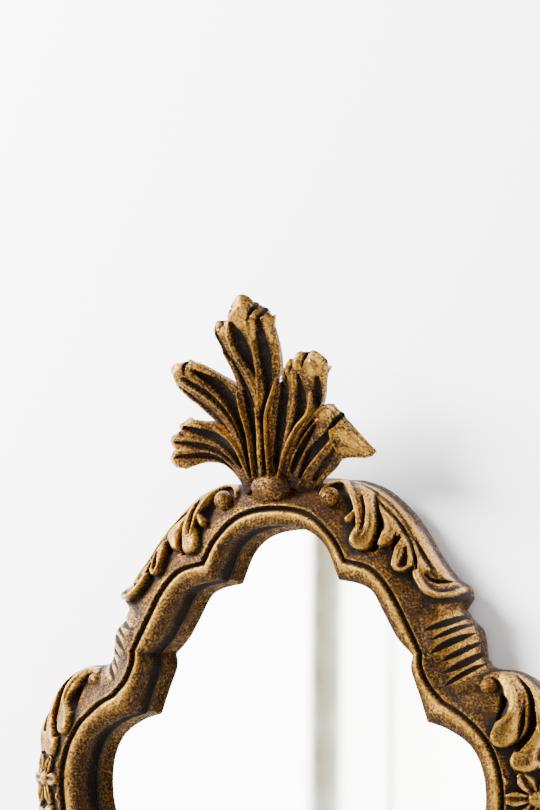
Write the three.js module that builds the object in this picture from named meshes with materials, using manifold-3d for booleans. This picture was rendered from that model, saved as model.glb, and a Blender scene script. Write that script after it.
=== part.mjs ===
// Carved cartouche wall mirror. Millimetres, +Z up, +X to the viewer's right, the wall is the plane y = 0
// and the glass faces -y. The origin is where the hanging ring rests on its hook.
import * as THREE from 'three';
import { mergeVertices } from 'three/addons/utils/BufferGeometryUtils.js';
import Module from 'manifold-3d';

const wasm = await Module();
wasm.setup();

// driving dimensions
const waistZ = -174; // height of the frame's widest line, below the hook
const lowerStretch = 1.15; // the lower half is the upper half turned over and made this much longer
const ridgeY = -37; // crest of the moulding, its distance in front of the wall
const beadY = -31.5; // where the bead turns into the opening
const edgeY = -11; // widest line of the outer edge
const lipY = -15.3; // foot of the cove, which the glass is set against
const backY = -3; // back face of the wood
const glassFrontY = -15;
const glassBackY = -12;
const boardFrontY = -11.7;
const boardBackY = -3.7;
const coveDepth = 2.4; // how far the cove between the bead and the glass is hollowed
const rebate = 9; // rebate wall, outward of the bead
const panelInset = 8.4; // edge of the glass and the board, outward of the bead
const backChamfer = 5; // the outer edge leans in by this much towards the wall
const glueGap = 0.3;
const crestLean = 0.37; // forward per millimetre of height
const hingeZ = -12; // pin of the hanging ring
const hingeY = -1.5;
const wireRadius = 0.8;
const buttonScrewInset = 14.5; // turn-button screws, outward of the bead

const v2 = (x, y) => new THREE.Vector2(x, y);
const v3 = (x, y, z) => new THREE.Vector3(x, y, z);
const mix = THREE.MathUtils.lerp;

// ---------- solids ----------

function toManifold(geometry) {
  const g = geometry.clone();
  g.deleteAttribute('normal');
  g.deleteAttribute('uv');
  const m = mergeVertices(g, 1e-4);
  const mesh = new wasm.Mesh({
    numProp: 3,
    vertProperties: new Float32Array(m.attributes.position.array),
    triVerts: new Uint32Array(m.index.array),
  });
  return new wasm.Manifold(mesh);
}

function fromManifold(solid) {
  const mesh = solid.getMesh();
  const g = new THREE.BufferGeometry();
  g.setAttribute('position', new THREE.BufferAttribute(new Float32Array(mesh.vertProperties), 3));
  g.setIndex(new THREE.BufferAttribute(new Uint32Array(mesh.triVerts), 1));
  g.computeVertexNormals();
  return g;
}

const join = (...solids) => wasm.Manifold.union(solids);

// six times the signed volume, to tell which way the faces point
function turning(positions, index) {
  let sum = 0;
  const a = v3(0, 0, 0);
  const b = v3(0, 0, 0);
  const c = v3(0, 0, 0);
  for (let i = 0; i < index.length; i += 3) {
    a.fromArray(positions, index[i] * 3);
    b.fromArray(positions, index[i + 1] * 3);
    c.fromArray(positions, index[i + 2] * 3);
    sum += a.dot(b.cross(c));
  }
  return sum;
}

// solid through a row of rings with the same number of points; flat gives the 2D shape of an end ring
function loft(rings, { closed = false, flat = null } = {}) {
  const n = rings[0].length;
  const positions = rings.flat().flatMap((p) => [p.x, p.y, p.z]);
  const index = [];
  const last = closed ? rings.length : rings.length - 1;
  for (let i = 0; i < last; i++) {
    const a = i * n;
    const b = ((i + 1) % rings.length) * n;
    for (let j = 0; j < n; j++) {
      const k = (j + 1) % n;
      index.push(a + j, b + j, b + k, a + j, b + k, a + k);
    }
  }
  if (!closed) {
    const cap = THREE.ShapeUtils.triangulateShape(flat, []);
    const clockwise = THREE.ShapeUtils.isClockWise(flat);
    const end = (rings.length - 1) * n;
    for (const [p, q, r] of cap) {
      if (clockwise) {
        index.push(p, r, q, end + p, end + q, end + r);
      } else {
        index.push(p, q, r, end + p, end + r, end + q);
      }
    }
  }
  if (turning(positions, index) < 0) {
    for (let i = 0; i < index.length; i += 3) {
      [index[i + 1], index[i + 2]] = [index[i + 2], index[i + 1]];
    }
  }
  const g = new THREE.BufferGeometry();
  g.setAttribute('position', new THREE.Float32BufferAttribute(positions, 3));
  g.setIndex(index);
  g.computeVertexNormals();
  return g;
}

const ball = (x, y, z, r) => new THREE.SphereGeometry(r, 8, 6).translate(x, y, z);

const disc = (x, z, front, back, r, sides = 12) =>
  new THREE.CylinderGeometry(r, r, back - front, sides).translate(x, (front + back) / 2, z);

const box = (x0, x1, y0, y1, z0, z1) =>
  new THREE.BoxGeometry(x1 - x0, y1 - y0, z1 - z0).translate((x0 + x1) / 2, (y0 + y1) / 2, (z0 + z1) / 2);

// ---------- plan of the frame ----------

// One quarter, from the top of the arch to the waist, as x and height above the waist: the bead's edge of
// the opening, the ridge and the outer edge. The arcs meet in cusps.
const archArc = [
  { b: [0, 141], r: [0, 147.5], o: [0, 169] },
  { b: [18, 138], r: [20, 144], o: [30, 168] },
  { b: [30, 129], r: [34, 132], o: [56, 160] },
  { b: [38, 111], r: [41.5, 119], o: [74, 144] },
];
const shoulderArc = [
  archArc[3],
  { b: [50, 108.5], r: [55, 115.5], o: [82, 132] },
  { b: [58, 104], r: [63, 109], o: [90, 121] },
  { b: [64, 93.5], r: [70, 99], o: [98, 107] },
  { b: [72, 80], r: [77, 86], o: [108, 93] },
  { b: [81, 71], r: [84.2, 72], o: [113, 81] },
];
const bumpArc = [
  shoulderArc[5],
  { b: [80, 64], r: [84.5, 65], o: [113.5, 74] },
  { b: [84, 52], r: [89, 55], o: [118, 66] },
  { b: [89, 37], r: [97, 46], o: [134, 62] },
];
const sideArc = [
  bumpArc[3],
  { b: [101, 33], r: [107, 40.5], o: [145, 51] },
  { b: [113, 25], r: [119, 30], o: [151, 36] },
  { b: [119, 14], r: [126, 17], o: [158, 20] },
  { b: [121, 0], r: [129, 0], o: [166, 0] },
];

const mirrorX = (s) => ({ b: v2(-s.b.x, s.b.y), r: v2(-s.r.x, s.r.y), o: v2(-s.o.x, s.o.y) });
const turnDown = (s) => {
  const down = (p) => v2(p.x, -lowerStretch * p.y);
  return { b: down(s.b), r: down(s.r), o: down(s.o) };
};

// stations along one arc; an arc that crosses a mirror line is given a mirrored control point beyond it
function sampleArc(arc, count, before = null, after = null) {
  const rows = [before, ...arc, after].filter(Boolean);
  const start = before ? 1 : 0;
  const curves = ['b', 'r', 'o'].map(
    (key) => new THREE.SplineCurve(rows.map((row) => v2(...row[key]))),
  );
  return Array.from({ length: count + 1 }, (_, i) => {
    const t = (start + (i / count) * (arc.length - 1)) / (rows.length - 1);
    const [b, r, o] = curves.map((curve) => curve.getPoint(t));
    return { b, r, o };
  });
}

const acrossTop = { b: [-18, 138], r: [-20, 144], o: [-30, 168] };
const belowWaist = { b: [119, -14], r: [126, -17], o: [158, -20] };
const arch = sampleArc(archArc, 6, acrossTop);
const shoulder = sampleArc(shoulderArc, 8);
const bump = sampleArc(bumpArc, 4);
const side = sampleArc(sideArc, 6, null, belowWaist);
const headQuarter = [...arch, ...shoulder.slice(1)];
const sideQuarter = [...bump, ...side.slice(1)];

// the rows run clockwise, and where they cross a mirror line the shared station is used once
const across = (quarter) => [...quarter.slice(1).reverse().map(mirrorX), ...quarter];
const around = (quarter) => [...quarter, ...quarter.slice(0, -1).reverse().map(turnDown)];
const topRow = across(headQuarter);
const bottomRow = topRow.map(turnDown).reverse();
const rightRow = around(sideQuarter);
const leftRow = rightRow.map(mirrorX).reverse();

const wholeRow = [
  ...headQuarter.slice(0, -1),
  ...rightRow,
  ...headQuarter.slice(0, -1).reverse().map(turnDown),
  ...headQuarter.slice(1, -1).map((s) => mirrorX(turnDown(s))),
  ...leftRow,
  ...headQuarter.slice(1, -1).reverse().map(mirrorX),
];

const mixStation = (s, t, amount) => ({
  b: s.b.clone().lerp(t.b, amount),
  r: s.r.clone().lerp(t.r, amount),
  o: s.o.clone().lerp(t.o, amount),
});

// the same row with both ends cut back by half of the joint's gap
function shortened(row) {
  const ease = (s, t) => mixStation(s, t, glueGap / 2 / s.o.distanceTo(t.o));
  const n = row.length;
  return [ease(row[0], row[1]), ...row.slice(1, -1), ease(row[n - 1], row[n - 2])];
}

// ---------- mouldings ----------

const outward = (s) => s.o.clone().sub(s.b).normalize();
const place = (p, y) => v3(p.x, y, waistZ + p.y);
const fromBead = (s, distance) => s.b.clone().addScaledVector(outward(s), distance);
const fromRidge = (s, distance) => s.r.clone().addScaledVector(outward(s), distance);
const fromEdge = (s, distance) => s.o.clone().addScaledVector(outward(s), distance);

// section of the wooden moulding: bead, ridge, quirk, falling face, outer edge, back, rebate, cove
function railSection(s, grow = 0) {
  const face = (t) => fromRidge(s, 4.6).lerp(s.o, t);
  return [
    place(s.b, beadY),
    place(s.b.clone().lerp(s.r, 0.3), ridgeY + 1.4 - grow),
    place(s.r, ridgeY - grow),
    place(fromRidge(s, 2.2), ridgeY + 0.8 - grow),
    place(fromRidge(s, 3.6), ridgeY + 2.6 - grow),
    place(fromRidge(s, 4.6), ridgeY + 1.2 - grow),
    place(face(0.45), ridgeY + 6 - grow),
    place(face(0.8), ridgeY + 11.5 - grow),
    place(fromEdge(s, grow - 1.5), edgeY - 7 - grow),
    place(fromEdge(s, grow), edgeY),
    place(fromEdge(s, grow - 1.5), backY - 4),
    place(fromEdge(s, grow - backChamfer), backY),
    place(fromBead(s, rebate), backY),
    place(fromBead(s, rebate), lipY),
    place(fromBead(s, 0.8), lipY),
    place(fromBead(s, coveDepth), (beadY + lipY) / 2),
  ];
}

// end ring of a row, flattened to distance along the station and depth
function endShape(row, section) {
  const s = row[0];
  const way = outward(s);
  return section(s).map((p) => v2((p.x - s.b.x) * way.x + (p.z - waistZ - s.b.y) * way.y, p.y));
}

const moulding = (row, section) => loft(row.map((s) => section(s)), { flat: endShape(row, section) });

// flat panel set into the rebate
function panel(front, back) {
  const outline = wholeRow.map((s) => fromBead(s, panelInset));
  const rings = [front, back].map((y) => outline.map((p) => place(p, y)));
  return loft(rings, { flat: outline });
}

// ---------- carved ornament ----------

// rounded body along a path: each knot is a place on the piece, half its width and half its thickness
function carved(knots, count = 8, sides = 6) {
  const path = new THREE.CatmullRomCurve3(knots.map((k) => k.at));
  const sizes = new THREE.SplineCurve(knots.map((k) => v2(k.wide, k.thick)));
  const front = v3(0, -1, 0);
  const rings = Array.from({ length: count + 1 }, (_, i) => {
    const t = i / count;
    const centre = path.getPoint(t);
    const sideways = path.getTangent(t).cross(front).normalize();
    const size = sizes.getPoint(t);
    return Array.from({ length: sides }, (_, j) => {
      const angle = (j / sides) * 2 * Math.PI;
      return centre
        .clone()
        .addScaledVector(sideways, Math.cos(angle) * Math.max(size.x, 0.6))
        .addScaledVector(front, Math.sin(angle) * Math.max(size.y, 0.6));
    });
  });
  const flat = Array.from({ length: sides }, (_, j) =>
    v2(Math.cos((j / sides) * 2 * Math.PI), Math.sin((j / sides) * 2 * Math.PI)));
  return loft(rings, { flat });
}

// behind is measured from the plane of the ridge
const knot = (x, height, behind, wide, thick) => ({
  at: v3(x, ridgeY + behind, waistZ + height),
  wide,
  thick,
});

// the moulding grown by the glue gap, which the ornament is cut to sit on
const seat = toManifold(loft(wholeRow.map((s) => railSection(s, glueGap)), { closed: true }));
const seated = (geometry) => fromManifold(toManifold(geometry).subtract(seat));
const carving = (...solids) => fromManifold(join(...solids.map(toManifold)));

// leaf that rolls out of a ball beside the crest and runs down the shoulder to a scooped tip
function shoulderLeaf() {
  const spine = carved([
    knot(33, 160, 3, 4, 7),
    knot(52, 158, 4, 7, 9),
    knot(68, 148, 6, 9, 10),
    knot(83, 131, 8, 9, 10),
    knot(96, 116, 9, 9, 9),
    knot(112, 105, 8, 1.5, 2.5),
  ]);
  const drop = carved([
    knot(48, 155, 0, 4, 3),
    knot(47, 141, -2, 5.5, 4),
    knot(49, 130, -1, 1.5, 2),
  ], 4);
  const secondDrop = carved([
    knot(68, 142, 1, 5, 4),
    knot(70, 127, 0, 6, 4),
    knot(74, 115, 2, 1.5, 2),
  ], 4);
  return carving(ball(30.5, ridgeY, waistZ + 156, 5.2), spine, drop, secondDrop);
}

// six raised ribs over the hollow of the face
function ribbedShell() {
  const core = carved([
    knot(99, 96, 8, 6, 6),
    knot(104, 83, 9, 10, 8),
    knot(107, 71, 9, 11, 8),
    knot(109, 64, 9, 5, 5),
  ], 5);
  const ribs = Array.from({ length: 6 }, (_, i) => {
    const t = i / 5;
    const outer = v2(mix(107, 118, t), mix(94, 66, t));
    const inner = v2(mix(89, 102, t), mix(87, 58, t));
    return carved([
      knot(inner.x, inner.y, 4, 1.4, 2),
      knot((inner.x + outer.x) / 2, (inner.y + outer.y) / 2 + 1, 4, 2.4, 5),
      knot(outer.x, outer.y, 9, 2, 4),
    ], 2, 4);
  });
  return carving(core, ...ribs);
}

// second scroll, its ball at the outer notch, with a leaf that turns over at the widest part
function sideScroll() {
  const spine = carved([
    knot(120, 59, 11, 4, 6),
    knot(135, 60, 12, 6, 8),
    knot(147, 48, 14, 8, 9),
    knot(152, 33, 15, 8, 9),
    knot(156, 20, 15, 2, 4),
  ], 7);
  const lobe = carved([
    knot(132, 58, 10, 5, 5),
    knot(129, 40, 7, 5.5, 4),
    knot(131, 30, 8, 1.5, 2),
  ], 4);
  const drop = carved([
    knot(147, 38, 11, 4, 5),
    knot(141, 26, 8, 4.5, 3.5),
    knot(142, 17, 9, 1.5, 2),
  ], 4);
  return carving(ball(120, ridgeY + 14, waistZ + 54.5, 5), spine, lobe, drop);
}

// small open flower on the waist
function waistFlower() {
  const heart = ball(147, ridgeY + 8, waistZ, 6.5);
  const petals = Array.from({ length: 6 }, (_, i) => {
    const angle = (i / 6) * 2 * Math.PI;
    const at = (radius, behind) => [147 + radius * Math.cos(angle), radius * Math.sin(angle), behind];
    return carved([
      knot(...at(3, 9), 3, 4),
      knot(...at(8, 8), 4.5, 4),
      knot(...at(13, 11), 1.5, 2),
    ], 3, 6);
  });
  return carving(heart, ...petals);
}

// front surface of the spray leans forward as it rises
const sprayY = (rise) => ridgeY + 2 - crestLean * rise;
const sprayKnot = (x, rise, wide, thick, back = 4) => ({
  at: v3(x, sprayY(rise) + back, rise - 12),
  wide,
  thick,
});

// five leaves fanned out of a button over the arch
function crest() {
  const middle = carved([
    sprayKnot(0, 4, 8, 8, 9),
    sprayKnot(0, 30, 9, 6),
    sprayKnot(0, 52, 11, 5),
    sprayKnot(-1, 70, 15, 4.5),
    sprayKnot(-3, 86, 17, 4),
    sprayKnot(-1, 99, 4, 3, 3),
  ], 10, 8);
  const upper = (x) => carved([
    sprayKnot(x * 4, 8, 8, 7, 8),
    sprayKnot(x * 14, 30, 9, 6),
    sprayKnot(x * 25, 46, 10, 5),
    sprayKnot(x * 35, 57, 10, 4.5),
    sprayKnot(x * 45, 64, 5, 3.5, 3),
  ]);
  const lower = (x) => carved([
    sprayKnot(x * 8, 6, 8, 7, 8),
    sprayKnot(x * 26, 15, 9, 6),
    sprayKnot(x * 42, 24, 11, 5),
    sprayKnot(x * 56, 23, 8, 4.5),
    sprayKnot(x * 63, 20, 4, 3.5, 3),
  ]);
  const foot = box(-28, 28, ridgeY + 4, ridgeY + 28, -7, 8);
  const button = ball(0, 0, 0, 1).scale(12.5, 8, 9).translate(0, ridgeY + 3, -11);
  return carving(middle, upper(-1), upper(1), lower(-1), lower(1), foot, button);
}

// hanging shell under the foot of the frame
function pendant() {
  const middle = carved([
    knot(0, -184, 6, 15, 8),
    knot(0, -200, 7, 20, 9),
    knot(0, -214, 6, 14, 7),
    knot(0, -230, 4, 2.5, 3),
  ], 7);
  const wing = (x) => carved([
    knot(x * 6, -190, 6, 7, 7),
    knot(x * 20, -200, 6, 8, 7),
    knot(x * 33, -203, 6, 6, 5),
    knot(x * 42, -198, 5, 2, 2.5),
  ], 5);
  return carving(middle, wing(-1), wing(1), ball(0, ridgeY + 2, waistZ - 180, 7));
}

// ---------- fastenings ----------

const joints = [];
for (const lower of [false, true]) {
  const a = headQuarter[headQuarter.length - 3];
  const b = sideQuarter[2];
  const s = headQuarter[headQuarter.length - 1];
  joints.push({ a: lower ? turnDown(a) : a, b: lower ? turnDown(b) : b, s: lower ? turnDown(s) : s });
}

const dowelRadius = 3;
const dowelHalf = 9;

// round bar with its middle and direction in the plan, at depth y
function bar(middle, way, y, radius, half, sides = 12) {
  const turn = new THREE.Quaternion().setFromUnitVectors(v3(0, 1, 0), v3(way.x, 0, way.y));
  return new THREE.CylinderGeometry(radius, radius, 2 * half, sides)
    .applyQuaternion(turn)
    .translate(middle.x, y, waistZ + middle.y);
}

// two dowels across each corner joint, one over the other
const dowels = [];
for (const [row, joint] of joints.entries()) {
  for (const sign of [-1, 1]) {
    for (const [depth, y] of [['front', -20], ['rear', -9.5]]) {
      const middle = fromBead(joint.s, 18);
      const way = joint.a.o.clone().sub(joint.b.o).normalize();
      middle.x *= sign;
      way.x *= sign;
      const name = `dowel_${row ? 'bottom' : 'top'}_${sign < 0 ? 'left' : 'right'}_${depth}`;
      dowels.push({ name, middle, way, y });
    }
  }
}

// turn buttons that hold the board in
const turnButtons = [
  ['top_left', headQuarter[10], true, false],
  ['top_right', headQuarter[10], false, false],
  ['left', sideQuarter[9], true, false],
  ['right', sideQuarter[9], false, false],
  ['bottom_left', headQuarter[10], true, true],
  ['bottom_right', headQuarter[10], false, true],
].map(([name, station, left, lower]) => {
  const turned = lower ? turnDown(station) : station;
  const s = left ? mirrorX(turned) : turned;
  return { name, centre: fromBead(s, buttonScrewInset), way: outward(s).negate() };
});

const buttonFront = -2.7;
const buttonBack = -1.5;
const screwHole = 1.7;
const screwShank = 1.5;
const plateHoles = [v2(-11, 155.2), v2(11, 155.2)];

const screwBores = [...turnButtons.map((t) => t.centre), ...plateHoles].map((p) =>
  disc(p.x, waistZ + p.y, -14, 0, screwHole));
const dowelBores = dowels.map((d) => bar(d.middle, d.way, d.y, dowelRadius + 0.2, dowelHalf + 0.6));
const bores = join(...[...screwBores, ...dowelBores].map(toManifold));

const rail = (row) => fromManifold(toManifold(moulding(shortened(row), railSection)).subtract(bores));

// pan-head screw, its head towards the wall
function screw(p, headFront) {
  const [x, z] = [p.x, waistZ + p.y];
  return fromManifold(join(
    toManifold(disc(x, z, -13, headFront + 0.2, screwShank)),
    toManifold(disc(x, z, headFront, -0.3, 3)),
  ));
}

// brass strip with one round end on its screw and the other over the board
function turnButton({ centre, way }) {
  const halfWidth = 4;
  const reach = 13;
  const shape = new THREE.Shape();
  shape.moveTo(0, -halfWidth);
  shape.lineTo(reach, -halfWidth);
  shape.absarc(reach, 0, halfWidth, -Math.PI / 2, Math.PI / 2);
  shape.lineTo(0, halfWidth);
  shape.absarc(0, 0, halfWidth, Math.PI / 2, 1.5 * Math.PI);
  const hole = new THREE.Path();
  hole.absarc(0, 0, screwShank + 0.06, 0, 2 * Math.PI);
  shape.holes.push(hole);
  const depth = buttonBack - buttonFront;
  return new THREE.ExtrudeGeometry(shape, { depth, bevelEnabled: false, curveSegments: 6 })
    .rotateX(Math.PI / 2)
    .rotateY(-Math.atan2(way.y, way.x))
    .translate(centre.x, buttonBack, waistZ + centre.y);
}

// plate with a rolled knuckle that the hanging ring's pin runs in
function hangerPlate() {
  const z = waistZ + plateHoles[0].y;
  const top = hingeZ - 1.8;
  const plate = toManifold(box(-15, 15, -2.8, -1.6, z - 4.2, top));
  const strap = toManifold(box(-3.5, 3.5, -2.8, -1.6, top - 0.5, hingeZ));
  const alongX = (g) => g.rotateZ(Math.PI / 2).translate(0, hingeY, hingeZ);
  const knuckle = toManifold(alongX(new THREE.CylinderGeometry(1.35, 1.35, 7, 20)));
  const pinHole = toManifold(alongX(new THREE.CylinderGeometry(0.87, 0.87, 12, 20)));
  const holes = plateHoles.map((p) => toManifold(disc(p.x, waistZ + p.y, -5, 0, screwShank + 0.3)));
  return fromManifold(join(plate, strap, knuckle).subtract(join(pinHole, ...holes)));
}

// closed ring of wire: a straight pin, two legs and a round top that bears on the hook
function hangerRing() {
  const halfWidth = 6.5;
  const legTop = -halfWidth + wireRadius;
  const path = new THREE.CurvePath();
  const corner = 1.6;
  path.add(new THREE.LineCurve3(v3(-halfWidth + corner, 0, hingeZ), v3(halfWidth - corner, 0, hingeZ)));
  path.add(new THREE.QuadraticBezierCurve3(
    v3(halfWidth - corner, 0, hingeZ), v3(halfWidth, 0, hingeZ), v3(halfWidth, 0, hingeZ + corner)));
  path.add(new THREE.LineCurve3(v3(halfWidth, 0, hingeZ + corner), v3(halfWidth, 0, legTop)));
  const arc = Array.from({ length: 13 }, (_, i) => {
    const angle = (i / 12) * Math.PI;
    return v3(halfWidth * Math.cos(angle), 0, legTop + halfWidth * Math.sin(angle));
  });
  path.add(new THREE.CatmullRomCurve3(arc));
  path.add(new THREE.LineCurve3(v3(-halfWidth, 0, legTop), v3(-halfWidth, 0, hingeZ + corner)));
  path.add(new THREE.QuadraticBezierCurve3(
    v3(-halfWidth, 0, hingeZ + corner), v3(-halfWidth, 0, hingeZ), v3(-halfWidth + corner, 0, hingeZ)));
  const count = 34;
  const rings = Array.from({ length: count }, (_, i) => {
    const centre = path.getPointAt(i / count);
    const along = path.getTangentAt(i / count);
    const side = v3(-along.z, 0, along.x);
    return Array.from({ length: 8 }, (_, j) => {
      const angle = (j / 8) * 2 * Math.PI;
      return centre
        .clone()
        .addScaledVector(side, Math.cos(angle) * wireRadius)
        .add(v3(0, hingeY + Math.sin(angle) * wireRadius, 0));
    });
  });
  return loft(rings, { closed: true });
}

// ---------- assembly ----------

const gilt = { color: 0x9a7b4f, roughness: 0.45, metalness: 0.6 };
const silvered = { color: 0xf2f4f2, roughness: 0.03, metalness: 1 };
const boardWood = { color: 0x8a6b4a, roughness: 0.8, metalness: 0 };
const beech = { color: 0xc9a77c, roughness: 0.7, metalness: 0 };
const brass = { color: 0xb08d4a, roughness: 0.35, metalness: 1 };
const steel = { color: 0x8d8f92, roughness: 0.35, metalness: 1 };
const felt = { color: 0x3a3d38, roughness: 0.95, metalness: 0 };

const mirrorWall = new THREE.Group();

function add(name, geometry, look) {
  const mesh = new THREE.Mesh(geometry, new THREE.MeshStandardMaterial(look));
  mesh.name = name;
  mirrorWall.add(mesh);
}

// a copy on the other side of the centre line or in the lower half, its faces turned back out
function flipped(geometry, left, lower) {
  const g = geometry.clone();
  const p = g.attributes.position;
  for (let i = 0; i < p.count; i++) {
    const height = p.getZ(i) - waistZ;
    p.setX(i, left ? -p.getX(i) : p.getX(i));
    p.setZ(i, waistZ + (lower ? -lowerStretch * height : height));
  }
  if (left !== lower) {
    const a = g.index.array;
    for (let i = 0; i < a.length; i += 3) {
      [a[i + 1], a[i + 2]] = [a[i + 2], a[i + 1]];
    }
  }
  g.computeVertexNormals();
  return g;
}

const corners = [
  ['top_left', true, false],
  ['top_right', false, false],
  ['bottom_left', true, true],
  ['bottom_right', false, true],
];

add('top_rail', rail(topRow), gilt);
add('left_stile', rail(leftRow), gilt);
add('right_stile', rail(rightRow), gilt);
add('bottom_rail', rail(bottomRow), gilt);
add('mirror_glass', panel(glassFrontY, glassBackY), silvered);
add('backing_board', panel(boardFrontY, boardBackY), boardWood);
add('crest', seated(crest()), gilt);
add('pendant', seated(pendant()), gilt);

const leaf = shoulderLeaf();
const shell = ribbedShell();
const scroll = sideScroll();
for (const [name, left, lower] of corners) {
  add(`shoulder_leaf_${name}`, seated(flipped(leaf, left, lower)), gilt);
  add(`ribbed_shell_${name}`, seated(flipped(shell, left, lower)), gilt);
  add(`side_scroll_${name}`, seated(flipped(scroll, left, lower)), gilt);
}
const flower = waistFlower();
add('waist_flower_left', seated(flipped(flower, true, false)), gilt);
add('waist_flower_right', seated(flower), gilt);

for (const d of dowels) {
  add(d.name, bar(d.middle, d.way, d.y, dowelRadius, dowelHalf), beech);
}
add('hanger_plate', hangerPlate(), brass);
add('hanger_ring', hangerRing(), brass);
add('hanger_screw_left', screw(plateHoles[0], -1.3), steel);
add('hanger_screw_right', screw(plateHoles[1], -1.3), steel);
for (const t of turnButtons) {
  add(`turn_button_${t.name}`, turnButton(t), brass);
  add(`button_screw_${t.name}`, screw(t.centre, -1.2), steel);
}
const footPoint = fromBead(turnDown(headQuarter[4]), 15);
add('felt_bumper_left', disc(-footPoint.x, waistZ + footPoint.y, -2.7, 0, 5.5, 24), felt);
add('felt_bumper_right', disc(footPoint.x, waistZ + footPoint.y, -2.7, 0, 5.5, 24), felt);

export default mirrorWall;
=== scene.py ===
import bpy
import numpy as np
from mathutils import Matrix


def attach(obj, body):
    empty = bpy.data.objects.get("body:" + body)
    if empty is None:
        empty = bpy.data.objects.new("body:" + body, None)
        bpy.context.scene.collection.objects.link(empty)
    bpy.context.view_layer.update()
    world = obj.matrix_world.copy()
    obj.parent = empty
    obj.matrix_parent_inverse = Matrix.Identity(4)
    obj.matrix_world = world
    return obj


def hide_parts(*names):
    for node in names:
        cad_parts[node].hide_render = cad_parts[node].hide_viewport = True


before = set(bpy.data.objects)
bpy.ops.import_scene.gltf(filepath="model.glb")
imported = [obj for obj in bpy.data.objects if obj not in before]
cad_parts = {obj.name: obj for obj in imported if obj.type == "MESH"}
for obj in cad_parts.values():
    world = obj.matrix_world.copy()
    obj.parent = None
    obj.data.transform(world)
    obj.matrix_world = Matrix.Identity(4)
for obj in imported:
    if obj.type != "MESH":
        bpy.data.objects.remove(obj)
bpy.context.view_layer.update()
print("frame loaded")

# Lengths are written in millimetres and turned to metres where a mesh is made. x is to the viewer's
# right, z is up, the wall is y = 0 and the glass faces -y. Plan points are (x, height over the waist).
mm = 0.001
waist = {"z": -174.0, "lowerStretch": 1.15}
body = "mirror_body"


def smooth(edge0, edge1, x):
    # 0 below edge0, 1 above edge1, and an S curve between them
    t = np.clip((x - edge0) / (edge1 - edge0), 0, 1)
    return t * t * (3 - 2 * t)


def through(knots, values, t):
    # cubic Hermite curve through the knots: each slope is the chord across the two neighbours
    knots, values = np.asarray(knots, float), np.asarray(values, float)
    values = values.reshape(len(knots), -1)
    slope = np.gradient(values, knots, axis=0)
    slope[1:-1] = (values[2:] - values[:-2]) / (knots[2:] - knots[:-2])[:, None]
    i = np.clip(np.searchsorted(knots, t, side="right") - 1, 0, len(knots) - 2)
    span = (knots[i + 1] - knots[i])[:, None]
    u = ((t - knots[i])[:, None]) / span
    h00, h10 = 2 * u**3 - 3 * u**2 + 1, u**3 - 2 * u**2 + u
    h01, h11 = -2 * u**3 + 3 * u**2, u**3 - u**2
    return h00 * values[i] + h10 * span * slope[i] + h01 * values[i + 1] + h11 * span * slope[i + 1]


def path(points, count):
    # smooth curve through the points, evenly spaced in knot number
    points = np.asarray(points, float)
    return through(np.arange(len(points)), points, np.linspace(0, len(points) - 1, count))


def ripple(points, size, seed, waves=14):
    # smooth random field, about -1 to 1: a sum of sine waves in random directions with wavelengths near size
    rng = np.random.default_rng(seed)
    way = rng.normal(size=(waves, points.shape[-1]))
    way /= np.linalg.norm(way, axis=1)[:, None]
    number = 2 * np.pi / (size * rng.uniform(0.6, 1.7, waves))
    phase = rng.uniform(0, 2 * np.pi, waves)
    return np.sin(points @ (way * number[:, None]).T + phase).sum(-1) / np.sqrt(waves)


def softened(field, reach):
    # box average over 2 * reach + 1 samples each way, with the edge values carried on
    out = field
    for axis in (0, 1):
        pad = [(reach + 1, reach) if a == axis else (0, 0) for a in (0, 1)]
        total = np.cumsum(np.pad(out, pad, mode="edge"), axis=axis)
        n = 2 * reach + 1
        high = np.take(total, np.arange(n, total.shape[axis]), axis=axis)
        low = np.take(total, np.arange(0, total.shape[axis] - n), axis=axis)
        out = (high - low) / n
    return out


def tubeFaces(rows, columns, offset=0):
    # quads between neighbouring samples of a grid whose rows are rings of so many columns
    i, j = np.meshgrid(np.arange(rows - 1), np.arange(columns), indexing="ij")
    i2, j2 = i + 1, (j + 1) % columns
    quads = np.stack([i * columns + j, i * columns + j2, i2 * columns + j2, i2 * columns + j], -1)
    return quads.reshape(-1, 4) + offset


def makeMesh(name, points, quads, caps, tone):
    # points in mm, quads and each point's tone as arrays; caps are rings of vertex numbers, each closed with
    # one face
    mesh = bpy.data.meshes.new(name)
    loops = np.concatenate([quads.ravel(), *[np.asarray(c) for c in caps]]).astype(np.int32)
    sizes = np.concatenate([np.full(len(quads), 4), [len(c) for c in caps]]).astype(np.int32)
    mesh.vertices.add(len(points))
    mesh.vertices.foreach_set("co", (points * mm).astype(np.float32).ravel())
    mesh.loops.add(len(loops))
    mesh.loops.foreach_set("vertex_index", loops)
    mesh.polygons.add(len(sizes))
    mesh.polygons.foreach_set("loop_start", (np.cumsum(sizes) - sizes).astype(np.int32))
    mesh.update(calc_edges=True)
    mesh.polygons.foreach_set("use_smooth", np.ones(len(sizes), bool))
    layer = mesh.attributes.new("tone", "FLOAT", "POINT")
    layer.data.foreach_set("value", tone.astype(np.float32).ravel())
    turnOut(mesh)
    mesh.update()
    piece = bpy.data.objects.new(name, mesh)
    bpy.context.scene.collection.objects.link(piece)
    return piece


def turnOut(mesh):
    # a negative signed volume, the sum of a . (b x c) over the triangles, means the faces point inwards
    mesh.calc_loop_triangles()
    co = np.zeros(len(mesh.vertices) * 3)
    mesh.vertices.foreach_get("co", co)
    tri = np.zeros(len(mesh.loop_triangles) * 3, np.int32)
    mesh.loop_triangles.foreach_get("vertices", tri)
    a, b, c = np.moveaxis(co.reshape(-1, 3)[tri.reshape(-1, 3)], 1, 0)
    if np.einsum("ij,ij->i", a, np.cross(b, c)).sum() < 0:
        mesh.flip_normals()


def finishPiece(piece, material, nodes=(), rides=body):
    piece.data.materials.append(material)
    if nodes:
        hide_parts(*nodes)
    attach(piece, rides)
    return piece


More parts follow.
